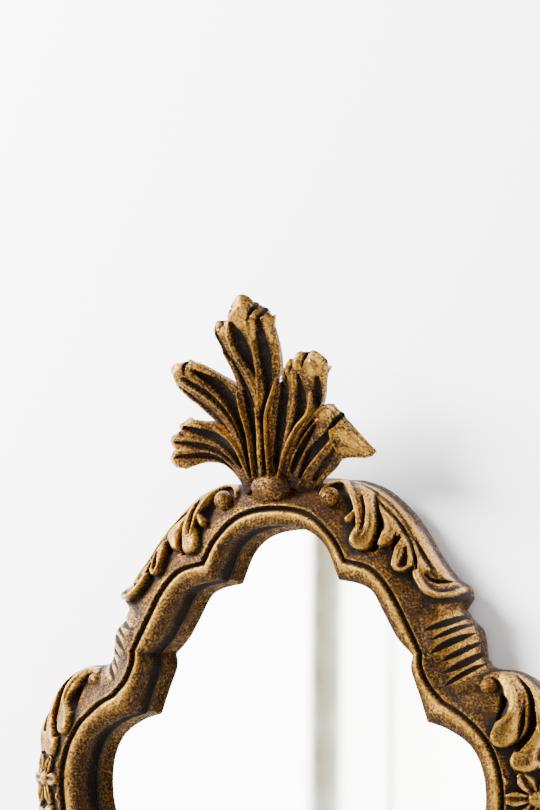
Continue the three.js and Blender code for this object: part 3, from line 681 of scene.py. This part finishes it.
# The crest stands in a leaning plane: points are (x, rise) and rise 0 lies 12 mm below the hook. Each leaf
# has a left and a right edge from its foot to its tip and a tip outline from left to right. On its front are
# gouges (line, half-widths, depth), raised ridges (line, half-widths, height), narrow nicks between the tip
# lobes and worn places that are only rubbed paler. back says how far back its foot and its tip lie, roll how
# far its tip curls forward, and thick how thick its foot is.
spray = {
    "lean": 0.37, "front": 2.0, "drop": -12.0,
    # the bowl the leaves stand in, and the neck behind it, toned low as painted shade
    "bowl": {"at": (-3, 5.0, -12.0), "size": (12.0, 8.4, 9.4), "tone": 0.52},
    "neck": {"at": (0, 14.5, -4.0), "size": (25, 10.5, 12), "tone": 0.14},
    "leaves": {
        "middle": {
            "left": [(-12, 4), (-12, 16), (-12.5, 32), (-13.5, 47), (-15.2, 58), (-19, 73), (-22.4, 84.5)],
            "right": [(0, 4), (0, 16), (1.5, 30), (5, 42), (9.6, 53), (12.6, 62), (14.6, 76), (13.5, 88)],
            "tip": [(-22.4, 84.5), (-20, 87.6), (-16.4, 87.2), (-13.6, 86.6), (-12.2, 90.5), (-9.6, 94.6),
                    (-7.8, 96.8), (-4, 100.2), (0.8, 99.8), (4.4, 96.2), (5.6, 93.6), (7.4, 94.2),
                    (9.6, 91.6), (11, 90.2), (13.5, 88)],
            "gouges": [([(-8.8, 86), (-6.4, 78), (-4.4, 69), (-1.6, 58)], [1.6, 4.2, 3.6, 0.6], 4.8),
                       ([(7.6, 86), (6.6, 75), (6, 64), (4.6, 53), (1.4, 42)], [1.4, 3.6, 3.4, 2.2, 0.6],
                        4.4),
                       ([(-21, 84), (-18.2, 75), (-15.2, 67)], [1.0, 1.9, 0.6], 2.8),
                       ([(-14, 68), (-11, 58), (-7.6, 50), (-4.6, 42)], [0.5, 1.5, 1.7, 0.6], 3.0),
                       ([(-10.5, 50), (-8, 40), (-7.6, 29), (-9, 10)], [1.2, 3.0, 2.4, 1.2], 5.0),
                       ([(2.4, 48), (-1.6, 36), (-3, 26), (-4.8, 8)], [0.4, 1.3, 1.4, 1.0], 3.4)],
            "ridges": [([(-3.4, 42), (-4.4, 28), (-5.6, 18), (-6.6, 6)], [0.8, 2.0, 2.4, 2.0], 1.9),
                       ([(-12.4, 80), (-10.6, 69), (-6.2, 59.5), (-2.6, 51), (-2.6, 41)],
                        [1.3, 1.2, 1.2, 1.2, 1.2], 1.3),
                       ([(0, 86), (1, 75), (0.4, 64), (-0.8, 52), (-2.2, 41)], [1.6, 1.2, 1.1, 1.1, 1.1],
                        1.3),
                       ([(10.6, 56), (6.6, 48.5), (2, 39), (-0.4, 28), (-1.4, 16), (-2, 6)],
                        [0.9, 1.3, 1.4, 1.4, 1.3, 1.2], 3.0)],
            "nicks": [([(-17.4, 90), (-16.2, 85.5)], 0.9, 3), ([(-11.6, 96), (-9.4, 92.5)], 0.8, 2.2),
                      ([(6.4, 96), (3.4, 91.6), (0.8, 87.6)], [1.4, 1.1, 0.3], 4.5),
                      ([(10.6, 92.6), (8, 89.2), (5.6, 86)], [1.6, 1.1, 0.3], 4.5)],
            "worn": [([(-5, 97), (-3, 91), (-4, 87)], [4.5, 6, 5]), ([(-14, 86), (-15.4, 82)], 2.6),
                     ([(11.6, 86), (12.6, 76)], 1.6), ([(3.4, 86), (1.6, 78)], 2.0)],
            "back": (-0.6, -1.0), "roll": 5.0, "thick": 6.0},
        "upperLeft": {
            "left": [(-17, 4), (-18, 14), (-22, 24), (-30.7, 34.5), (-38.7, 42.3), (-46.7, 50.7),
                     (-53, 60)],
            "right": [(-9.5, 4), (-10, 16), (-11, 34), (-14.8, 50), (-25.4, 58.8), (-35.6, 65.8),
                      (-43.5, 68)],
            "tip": [(-53, 60), (-53.6, 64), (-50.5, 67.6), (-47, 67.8), (-43.5, 68)],
            "gouges": [([(-38, 63), (-27, 55), (-19.4, 45), (-16.4, 34), (-15, 20), (-14, 6)],
                        [1.2, 3.0, 3.4, 2.6, 1.6, 1.0], 4.4),
                       ([(-45, 60), (-35.6, 52.6), (-27.4, 45), (-20.4, 36), (-17.4, 26)],
                        [1.0, 1.7, 1.8, 1.5, 0.6], 2.6),
                       ([(-49, 56), (-40, 47), (-31, 39), (-23, 29)], [0.5, 1.3, 1.4, 0.5], 1.8)],
            "ridges": [([(-15.2, 50), (-13.8, 40), (-12, 30), (-11.6, 20), (-11.6, 6)],
                        [1.0, 1.5, 1.5, 1.4, 1.2], 3.0),
                       ([(-47, 58.5), (-38, 52), (-29.5, 44.6), (-22, 36)], [0.9, 1.2, 1.3, 0.8], 0.9),
                       ([(-40.5, 61), (-31, 52.4), (-23, 43.4), (-18.6, 34), (-15.6, 24)],
                        [0.9, 1.0, 1.0, 0.9, 0.6], 1.0)],
            "nicks": [([(-42.6, 69.4), (-43.6, 66), (-43.8, 62)], [1.5, 1.1, 0.4], 4.5)],
            "worn": [([(-51.5, 61), (-48.5, 66)], 3.4), ([(-49, 57), (-47, 54)], 1.6),
                     ([(-38, 65.4), (-30, 61)], 1.2)],
            "back": (0.6, 0.8), "roll": 3.5, "thick": 6.0},
        "lowerLeft": {
            "left": [(-21, -5), (-23, 3), (-28, 9.8), (-34.3, 13.6), (-45, 14.2), (-57, 11.4)],
            "right": [(-12, 2), (-14, 10), (-20, 21), (-30.7, 33), (-40.1, 35.4), (-49.7, 37.5)],
            "tip": [(-57, 11.4), (-62, 12.8), (-63.8, 17.6), (-60.4, 22.4), (-61.6, 26.5), (-60.2, 29.6),
                    (-56.2, 31.6), (-54.6, 35.4), (-49.7, 37.5)],
            "gouges": [([(-51, 34), (-41, 30.6), (-32, 26.6), (-25, 20), (-20, 11)],
                        [1.2, 2.0, 2.4, 2.0, 0.8], 3.2),
                       ([(-57.6, 26.6), (-46, 24.4), (-33, 20.4), (-24.5, 13)], [0.8, 1.5, 1.7, 0.5], 2.6),
                       ([(-58.5, 18.6), (-46, 18.6), (-34, 16.4), (-25.6, 9)], [0.8, 1.7, 1.9, 0.5], 2.8)],
            "ridges": [([(-33, 32.6), (-26.6, 28), (-21.6, 21.6), (-18.2, 14), (-15, 5)],
                        [0.9, 1.4, 1.5, 1.4, 1.1], 3.0),
                       ([(-57.5, 29.6), (-46.5, 27.4), (-35.5, 23.8), (-27, 18)], [0.9, 1.0, 1.0, 0.6],
                        0.9),
                       ([(-58.5, 22.4), (-46, 21.6), (-34, 18.4), (-26, 12.4)], [0.9, 1.0, 1.0, 0.6], 0.9)],
            "nicks": [([(-57, 34), (-54.4, 31.4), (-52, 29.6)], [1.5, 1.1, 0.4], 3.6),
                      ([(-63.4, 22.6), (-59, 22.4)], [1.2, 0.4], 2.4)],
            "worn": [([(-62, 17.6), (-60, 13.6)], 3.0), ([(-59, 28), (-60, 25)], 1.4),
                     ([(-50, 36), (-42, 34)], 1.0)],
            "back": (2.6, 3.0), "roll": 3.0, "thick": 6.0},
        "upperRight": {
            "left": [(-5, 4), (-3, 16), (0, 30), (4.6, 42), (9.4, 50.4), (15, 57), (17.8, 64)],
            "right": [(6, 4), (9, 14), (17, 26), (26.4, 36), (34.2, 43.4), (38.2, 51), (41.5, 60)],
            "tip": [(17.8, 64), (19.6, 66), (22.6, 65), (24.4, 68.4), (28, 69.6), (31, 68.4), (35.4, 69.6),
                    (39.4, 67), (42, 63.6), (41.5, 60)],
            "gouges": [([(14, 54), (11.6, 43), (8.4, 31), (3.6, 17), (0.6, 6)], [1.4, 3.0, 3.0, 2.2, 1.2],
                        5.4),
                       ([(25.4, 58), (24.2, 47), (20.6, 36.6), (13, 25), (6, 12)],
                        [1.0, 2.8, 2.4, 1.6, 0.6], 4.0),
                       ([(18.2, 60), (16, 50), (13.4, 41)], [0.6, 1.5, 0.6], 2.4),
                       ([(36, 56), (33.8, 48), (30, 40)], [1.6, 2.6, 1.4], 4.4)],
            "ridges": [([(30.4, 49), (26, 37.6), (17, 29.6), (9, 18.6), (3, 5)], [0.9, 1.4, 1.5, 1.4, 1.2],
                        3.2),
                       ([(22.4, 60), (20, 48), (17, 39), (12.6, 30)], [1.3, 1.2, 1.1, 0.6], 1.2),
                       ([(36, 64), (35.6, 60)], 4.6, 2.4), ([(26.4, 66), (26, 63)], 3.0, 1.8),
                       ([(19.2, 63), (19, 59)], 1.9, 1.2)],
            "nicks": [([(22.2, 67), (22.4, 64), (21.6, 60)], [1.5, 1.0, 0.4], 4.5),
                      ([(31.4, 70.4), (30.6, 67), (29, 62.6)], [1.3, 1.1, 0.4], 4.2)],
            "worn": [([(36, 66), (36, 60)], 5.0), ([(27, 67), (26, 63)], 2.8),
                     ([(19.2, 64), (19, 60)], 1.6)],
            "back": (0.8, 0.2), "roll": 5.0, "thick": 6.5},
        "lowerRight": {
            "left": [(1, 4), (6, 14), (14, 25), (22, 31.6), (29, 37.6), (35.4, 41), (39, 40.6)],
            "right": [(17, -5), (26, 2), (34.4, 8), (39.4, 12.6), (49, 14), (58, 14)],
            "tip": [(39, 40.6), (43.4, 38.4), (47, 32.6), (51.6, 27.7), (56, 22.6), (62.4, 16.5), (58, 14)],
            "gouges": [([(27, 32), (18.6, 22), (10.4, 8)], [2.2, 3.2, 1.2], 4.6),
                       ([(36.5, 28.6), (32.4, 23), (23.4, 16), (15.4, 5)], [1.0, 2.8, 3.0, 1.4], 4.6),
                       ([(38, 19), (32, 12), (23, 3)], [0.8, 1.9, 1.4], 2.4)],
            "ridges": [([(31, 35), (22.4, 27.4), (14, 18), (7, 6)], [1.2, 1.2, 1.1, 0.9], 1.2),
                       ([(38.5, 24.5), (30, 17.6), (20, 8.6), (13.4, 0)], [1.3, 1.2, 1.1, 0.8], 1.2),
                       ([(38.6, 31.4), (38, 24), (40, 17)], [1.0, 1.2, 1.0], 2.2)],
            "nicks": [([(37.6, 30), (41, 32.4), (44.4, 35.4)], [0.7, 1.5, 1.5], 4.8)],
            "worn": [([(33, 35.6), (39.6, 38.4)], 2.6), ([(41, 27), (48.5, 24), (57, 17.4)], [3.4, 5, 3]),
                     ([(42, 18), (50, 17)], 3)],
            "back": (2.6, 2.0), "roll": 4.0, "thick": 6.0},
    },
}


leafShape = {"arch": 2.4, "sideBulge": 0.9}
# how much gilding shows on a leaf, as on the moulding; all but front, most and the last three are added to
# it;
# the paler rolled tip is rubbed gilding and painted highlight, and the sides darkening to the back painted
# shade
leafGlazeAndPaintedLight = {
    "front": 0.52, "rolled": 0.12, "perGougeMm": -0.125, "perRidgeMm": 0.17, "worn": 0.3, "nick": -0.5,
    "edge": 0.16, "foot": -0.24, "most": 0.86, "sideFront": 0.62, "sideBackShade": 0.27, "back": 0.3,
}


def edgeAt(points, v):
    # smooth curve through the points, by share of its length
    fine = path(points, 240)
    length = np.r_[0, np.cumsum(np.linalg.norm(np.diff(fine, axis=0), axis=1))]
    share = length / length[-1]
    return np.stack([np.interp(v, share, fine[:, 0]), np.interp(v, share, fine[:, 1])], -1)


def bladeFront(leaf, flat, u, v):
    # height and tone of the front: arched across, rolled forward at the tip, then gouged, ridged and nicked
    p = flat.reshape(-1, 2)
    cut, raised, nick, worn = (np.zeros(len(p)) for _ in range(4))
    for line, width, depth in leaf["gouges"]:
        cut = np.maximum(cut, stroke(p, line, width, depth, rounded))
    for line, width, rise in leaf["ridges"]:
        raised = np.maximum(raised, stroke(p, line, width, rise, domed))
    for line, width, depth in leaf.get("nicks", ()):
        nick = np.maximum(nick, stroke(p, line, width, depth, rounded))
    for line, width in leaf.get("worn", ()):
        worn = np.maximum(worn, stroke(p, line, width, 1.0, lambda share: 1 - smooth(0.3, 1, share)))
    cut, raised, nick, worn = (a.reshape(flat.shape[:2]) for a in (cut, raised, nick, worn))
    nick = nick * smooth(0, 0.07, u) * smooth(0, 0.07, 1 - u)
    # a gouge stops where a ridge was left standing
    cut = cut * (1 - smooth(0.2, 1.2, raised))
    arch = -leafShape["arch"] * (2 * u - 1) ** 2
    roll = leaf["roll"] * (smooth(0.66, 0.94, v) - 0.85 * smooth(0.94, 1, v))
    height = arch[None] + roll[:, None] - cut + raised - nick
    g = leafGlazeAndPaintedLight
    # the rolled tip is paler: rubbed gilding and painted highlight where it curls towards the light
    rolled = smooth(0.74, 0.95, v)[:, None]
    tone = g["front"] + g["rolled"] * rolled
    tone = tone + g["perGougeMm"] * np.minimum(cut, 3) + g["perRidgeMm"] * np.minimum(raised, 2.4)
    tone = tone + g["worn"] * worn * (1 - smooth(0.3, 1.5, cut)) + g["nick"] * smooth(0.3, 1.6, nick)
    edge = smooth(0.93, 1, np.abs(2 * u - 1))[None] * (1 - smooth(0, 1, cut))
    tone = tone + g["edge"] * edge + g["foot"] * (1 - smooth(0, 0.3, v))[:, None]
    return height, np.clip(tone, 0, g["most"])


def blade(leaf, rows=150, across=84):
    # closed blade as a grid of rings: points in its plane, height towards the viewer, tone, and the share of
    # the length at each ring
    v = np.linspace(0, 1, rows)
    u = np.linspace(0, 1, across)
    left, right = edgeAt(leaf["left"], v), edgeAt(leaf["right"], v)
    tip = edgeAt(leaf["tip"], u)
    flat = left[:, None] + (right - left)[:, None] * u[None, :, None]
    reach = tip - (left[-1] + (right[-1] - left[-1]) * u[:, None])
    flat = flat + reach[None] * (smooth(0.62, 1, v) ** 1.3)[:, None, None]
    height, tone = bladeFront(leaf, flat, u, v)
    # rounded sides and a plain back; the sides are toned darker as they turn to the back, as painted shade
    turn = np.linspace(0, np.pi, 9)[1:-1]
    g = leafGlazeAndPaintedLight
    thick = leaf["thick"] * (0.7 + 0.3 * smooth(0, 0.4, 1 - v))
    way = (right - left) / np.maximum(np.linalg.norm(right - left, axis=1), 1e-6)[:, None]
    ring, lift, shade = [flat], [height], [tone]

    def sideOf(edge, top, sign, order):
        bulge = leafShape["sideBulge"] * np.sin(order)
        ring.append(edge[:, None] + sign * way[:, None] * bulge[None, :, None])
        behind = (1 - np.cos(order)) / 2
        lift.append(top[:, None] - thick[:, None] * behind[None])
        toned = g["sideFront"] + (g["sideBackShade"] - g["sideFront"]) * behind
        shade.append(np.broadcast_to(toned, (rows, len(order))))

    sideOf(flat[:, -1], height[:, -1], 1, turn)
    back = np.linspace(1, 0, 14)
    ring.append(flat[:, -1:] + (flat[:, :1] - flat[:, -1:]) * (1 - back)[None, :, None])
    under = np.minimum(height.min(1), height[:, 0])[:, None]
    low = (height[:, -1:] - thick[:, None]) * back + (height[:, :1] - thick[:, None]) * (1 - back)
    lift.append(np.minimum(low, under - 1.2 * np.sin(np.pi * back) - 0.4))
    shade.append(np.full((rows, len(back)), g["back"]))
    sideOf(flat[:, 0], height[:, 0], -1, turn[::-1])
    return np.concatenate(ring, 1), np.concatenate(lift, 1), np.concatenate(shade, 1), v


def leaningPlace(flat, lift, back):
    # from the leaning plane to millimetres in the frame; lift is square to the plane
    s = spray
    cos, sin = 1 / np.hypot(1, s["lean"]), s["lean"] / np.hypot(1, s["lean"])
    y = section["ridgeY"] + s["front"] - s["lean"] * flat[..., 1] + back - lift * cos
    z = s["drop"] + flat[..., 1] - lift * sin
    return np.stack([flat[..., 0], y, z], -1)


def joined(name, grids):
    # one mesh of several closed grids, each (points, tone) with rows by ring
    points, quads, ends, tones, start = [], [], [], [], 0
    for p, tone in grids:
        rows, columns = p.shape[:2]
        points.append(p.reshape(-1, 3))
        tones.append(tone.reshape(-1))
        quads.append(tubeFaces(rows, columns, start))
        ends += [start + np.arange(columns)[::-1], start + (rows - 1) * columns + np.arange(columns)]
        start += rows * columns
    points = handworn(np.concatenate(points))
    return makeMesh(name, points, np.concatenate(quads), ends, np.concatenate(tones))


def dome(centre, size, tone, rows=40, columns=64):
    # flattened ball, its poles left to right, as a grid with tiny end rings; its tone falls on the side
    # towards the wall, as painted shade
    lat = np.linspace(-0.495, 0.495, rows) * np.pi
    lon = np.linspace(0, 2 * np.pi, columns, endpoint=False)
    lat, lon = np.meshgrid(lat, lon, indexing="ij")
    unit = np.stack([np.sin(lat), -np.cos(lat) * np.cos(lon), np.cos(lat) * np.sin(lon)], -1)
    return np.array(centre) + unit * np.array(size), tone - 0.35 * smooth(-0.3, 0.5, unit[..., 1])


def behindRidge(ball):
    # dome whose centre is (x, how far behind the ridge plane, z)
    x, behind, z = ball["at"]
    return dome((x, section["ridgeY"] + behind, z), ball["size"], ball["tone"])


def crestGrids():
    grids = []
    for leaf in spray["leaves"].values():
        flat, lift, shade, v = blade(leaf)
        back = leaf["back"][0] + (leaf["back"][1] - leaf["back"][0]) * v[:, None]
        grids.append((leaningPlace(flat, lift, back), shade))
    for part in ("bowl", "neck"):
        # a dome's rings run the other way round from a leaf's, so they are turned to face outwards
        grid, shade = behindRidge(spray[part])
        grids.append((grid[:, ::-1], shade[:, ::-1]))
    return grids


finishPiece(joined("carvedCrest", crestGrids()), gilt, ["crest"])
print("crest carved")


# balls that the leaves roll out of: plan place, depth behind the ridge plane, radius
scrollBalls = {"shoulder": ((32.5, 155.6), 4.2, 5.3), "side": ((118.8, 55.2), 15.5, 5.2), "tone": 0.6}
for lower, rise in ((False, "Top"), (True, "Bottom")):
    for left, hand in ((True, "Left"), (False, "Right")):
        for kind in ("shoulder", "side"):
            place, behind, radius = scrollBalls[kind]
            centre = placed(turned(np.array(place, float), left, lower), section["ridgeY"] + behind)
            ball = dome(centre, (radius, radius, radius), scrollBalls["tone"])
            finishPiece(joined(f"{kind}Ball{rise}{hand}", [ball]), gilt)
print("scroll balls made")


# the leaves of the pendant, as those of the crest, but their points are (x, height over the waist)
pendantLeaves = {
    "middle": {
        "left": [(9, -172), (12, -182), (19, -196), (17, -206), (10, -216), (3, -229)],
        "right": [(-9, -172), (-12, -182), (-19, -196), (-17, -206), (-10, -216), (-3, -229)],
        "tip": [(3, -229), (0, -230.5), (-3, -229)],
        "gouges": [([(3.4, -180), (5, -194), (3.6, -208), (1.6, -220)], [1.2, 3.0, 2.4, 0.8], 3.8),
                   ([(-3.4, -180), (-5, -194), (-3.6, -208), (-1.6, -220)], [1.2, 3.0, 2.4, 0.8], 3.8),
                   ([(9, -184), (13.6, -196), (11, -208), (6, -218)], [0.8, 2.6, 2.2, 0.6], 3.2),
                   ([(-9, -184), (-13.6, -196), (-11, -208), (-6, -218)], [0.8, 2.6, 2.2, 0.6], 3.2)],
        "ridges": [([(0, -178), (0, -200), (0, -224)], [1.8, 1.4, 0.8], 1.6)],
        "worn": [([(0, -184), (0, -222)], 1.6)],
        "back": (3, 1), "roll": 1.5, "thick": 9.0},
    "wing": {
        "left": [(4, -172), (10, -184), (20, -192), (32, -194), (41, -193)],
        "right": [(2, -184), (8, -196), (20, -207), (33, -210), (42, -203)],
        "tip": [(41, -193), (44.5, -197), (42, -203)],
        "gouges": [([(8, -184), (18, -196), (30, -199), (38, -197)], [1.2, 2.2, 2.0, 0.8], 3.0),
                   ([(9, -190), (18, -201), (30, -205), (37, -203)], [0.8, 1.8, 1.8, 0.6], 2.6)],
        "ridges": [([(10, -188), (19, -198.6), (30, -202), (38, -200)], [1.0, 1.1, 1.0, 0.7], 1.0)],
        "back": (6, 5), "roll": 2.0, "thick": 8.0},
}
pendantButton = {"at": (0, 5, waist["z"] - 179), "size": (9, 7, 8), "tone": 0.7}


def pendantGrids():
    # A middle leaf hanging down and a wing to each side, the second the mirror image of the first. The rings
    # of the two that aren't mirrored are turned, so that all of them run as the button's do.
    grids = []
    for name, mirrored in (("middle", False), ("wing", False), ("wing", True)):
        leaf = pendantLeaves[name]
        flat, lift, shade, v = blade(leaf)
        back = leaf["back"][0] + (leaf["back"][1] - leaf["back"][0]) * v[:, None]
        grid = placed(flat * ((-1, 1) if mirrored else (1, 1)), section["ridgeY"] + 3 + back - lift)
        grids.append((grid, shade) if mirrored else (grid[:, ::-1], shade[:, ::-1]))
    grids.append(behindRidge(pendantButton))
    return grids


finishPiece(joined("carvedPendant", pendantGrids()), gilt, ["pendant"])
print("pendant carved")


# solids that are right as they are, with their finishes
plainSolids = {
    "mirror_glass": glass, "backing_board": boardFinish, "dowel_": beechFinish, "hanger_plate": brassFinish,
    "hanger_ring": brassFinish, "turn_button_": brassFinish, "button_screw_": steelFinish,
    "hanger_screw_": steelFinish, "felt_bumper_": feltFinish,
}
for node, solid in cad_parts.items():
    for start, finish in plainSolids.items():
        if node.startswith(start):
            solid.material_slots[0].material = finish
print("plain solids finished")


view = {"from": (465.58, -967.44, -112.45), "at": (-2.38, -37, 33), "roll": 0.75, "lens": 84.98}


def aimed(start, end, roll=0.0):
    # placement at start that looks at end with its top up, turned about the line of sight by roll degrees
    start, end = np.array(start, float), np.array(end, float)
    back = (start - end) / np.linalg.norm(start - end)
    right = np.cross((0, 0, 1), back)
    right /= np.linalg.norm(right)
    up = np.cross(back, right)
    cos, sin = np.cos(np.radians(roll)), np.sin(np.radians(roll))
    matrix = np.eye(4)
    matrix[:3] = np.stack([cos * right + sin * up, cos * up - sin * right, back, start * mm], 1)
    return Matrix(matrix.tolist())


def makeCamera():
    data = bpy.data.cameras.new("camera")
    data.lens, data.sensor_width, data.sensor_fit = view["lens"], 36, "AUTO"
    camera = bpy.data.objects.new("camera", data)
    bpy.context.scene.collection.objects.link(camera)
    camera.matrix_world = aimed(view["from"], view["at"], view["roll"])
    bpy.context.scene.camera = camera


# soft boxes: place and aim in mm, width and height in mm, power in watts
lamps = {
    "wallWash": {"from": (-1300, -950, 850), "at": (-200, 0, 50), "size": (850, 850), "power": 350},
    "windowLeft": {"from": (-1500, -1000, 900), "at": (0, 0, -120), "size": (750, 900), "power": 125},
    "backFill": {"from": (500, 1700, 600), "at": (0, 0, -120), "size": (1400, 1400), "power": 40},
    "fillFront": {"from": (700, -1900, 500), "at": (0, 0, -120), "size": (1500, 1500), "power": 12},
}


def softBox(name, lamp):
    data = bpy.data.lights.new(name, "AREA")
    data.shape, data.size, data.size_y = "RECTANGLE", lamp["size"][0] * mm, lamp["size"][1] * mm
    data.energy = lamp["power"]
    light = bpy.data.objects.new(name, data)
    bpy.context.scene.collection.objects.link(light)
    light.matrix_world = aimed(lamp["from"], lamp["at"])
    return light


def card(name, corners, material):
    # flat stage sheet with four corners in mm
    mesh = bpy.data.meshes.new(name)
    mesh.from_pydata([tuple(c * mm for c in p) for p in corners], [], [(0, 1, 2, 3)])
    sheet = bpy.data.objects.new(name, mesh)
    bpy.context.scene.collection.objects.link(sheet)
    sheet.data.materials.append(material)
    return sheet


stage = {"side": 2600, "front": -3200, "behind": 1200, "floorZ": -1500, "topZ": 1500, "wallColour": "#f0efef",
         "wallGlow": 0.12, "glowColour": "#f7f4f4", "floorColours": ("#dcdcda", "#e2e2e0"),
         "skyColour": "#f7f5f4", "skyStrength": 0.5}


def paintedWall(name, look):
    # matt emulsion; seen from behind the sheet is clear, so that the back of the mirror can be looked at
    m = newMaterial(name)
    geometry = addNode(m, "ShaderNodeNewGeometry")
    place = addNode(m, "ShaderNodeTexCoord").outputs["Object"]
    roller = addNode(m, "ShaderNodeTexNoise", None, {"Vector": place, "Scale": 1 / (3 * mm), "Detail": 4.0})
    bump = addNode(m, "ShaderNodeBump", None, {
        "Height": roller.outputs["Fac"], "Strength": 0.12, "Distance": 0.2 * mm})
    paint = addNode(m, "ShaderNodeBsdfPrincipled", None, {
        "Base Color": linear(look["wallColour"]), "Roughness": 0.85, "Normal": bump.outputs["Normal"],
        "Emission Color": linear(look["glowColour"]), "Emission Strength": look["wallGlow"]})
    clear = addNode(m, "ShaderNodeBsdfTransparent")
    both = addNode(m, "ShaderNodeMixShader", None, {
        "Fac": geometry.outputs["Backfacing"], 1: paint.outputs["BSDF"], 2: clear.outputs["BSDF"]})
    addNode(m, "ShaderNodeOutputMaterial", None, {"Surface": both.outputs["Shader"]})
    return m


# the sheet that the glass reflects: its sides, height and distance in mm, and the bars across it
room = {
    "left": -2150, "right": -750, "low": -700, "high": 420, "away": -3000, "strength": 13.0,
    "bars": [(0.0, "#f1f5ee"), (0.3, "#ffffff"), (0.52, "#ffffff"), (0.545, "#4c4838"), (0.575, "#5e5b4c"),
             (0.6, "#eeeeea"), (0.66, "#f4f4f2"), (0.674, "#b9b7ae"), (0.69, "#f5f1ee"), (0.74, "#fff8f4"),
             (0.82, "#ffffff"), (1.0, "#fbfbfa")],
}


def brightRoom(name):
    # a pale bright room with soft upright bars, the x axis of the sheet across them
    m = newMaterial(name)
    place = addNode(m, "ShaderNodeTexCoord").outputs["Object"]
    parts = addNode(m, "ShaderNodeSeparateXYZ", None, {"Vector": place})
    across = addNode(m, "ShaderNodeMapRange", None, {
        "Value": parts.outputs["X"], "From Min": room["left"] * mm, "From Max": room["right"] * mm})
    colour = addNode(m, "ShaderNodeValToRGB", None, {"Fac": across.outputs["Result"]})
    colour.color_ramp.interpolation = "EASE"
    fillRamp(colour, room["bars"])
    glow = addNode(m, "ShaderNodeEmission", None, {
        "Color": colour.outputs["Color"], "Strength": room["strength"]})
    addNode(m, "ShaderNodeOutputMaterial", None, {"Surface": glow.outputs["Emission"]})
    return m


makeCamera()
wide, low, high = stage["side"], stage["floorZ"], stage["topZ"]
wall = card("wall", [(-wide, 0, low), (wide, 0, low), (wide, 0, high), (-wide, 0, high)],
            paintedWall("emulsionWall", stage))
near, far = stage["front"], stage["behind"]
card("floor", [(-wide, near, low), (wide, near, low), (wide, far, low), (-wide, far, low)],
     plainFinish("paleFloor", stage["floorColours"], 0.6, 0.0, 40, 0.1))
left, right, away = room["left"], room["right"], room["away"]
backdrop = card("roomSheet", [(right, away, room["low"]), (left, away, room["low"]),
                              (left, away, room["high"]), (right, away, room["high"])],
                brightRoom("brightRoom"))
backdrop.visible_camera = False
backdrop.visible_diffuse = False
backdrop.visible_shadow = False
lights = {name: softBox(name, lamp) for name, lamp in lamps.items()}
# the wash falls on the wall alone and the mirror only casts its soft shadow in it
lights["wallWash"].visible_glossy = False
washed = bpy.data.collections.new("washed")
washed.objects.link(wall)
lights["wallWash"].light_linking.receiver_collection = washed
# the wall casts no shadow, so the back fill reaches the back of the mirror
wall.visible_shadow = False
lights["fillFront"].visible_glossy = False
world = bpy.data.worlds.new("softSky")
world.use_nodes = True
sky = world.node_tree.nodes["Background"]
sky.inputs["Color"].default_value = linear(stage["skyColour"])
sky.inputs["Strength"].default_value = stage["skyStrength"]
bpy.context.scene.world = world
print("camera and light set")
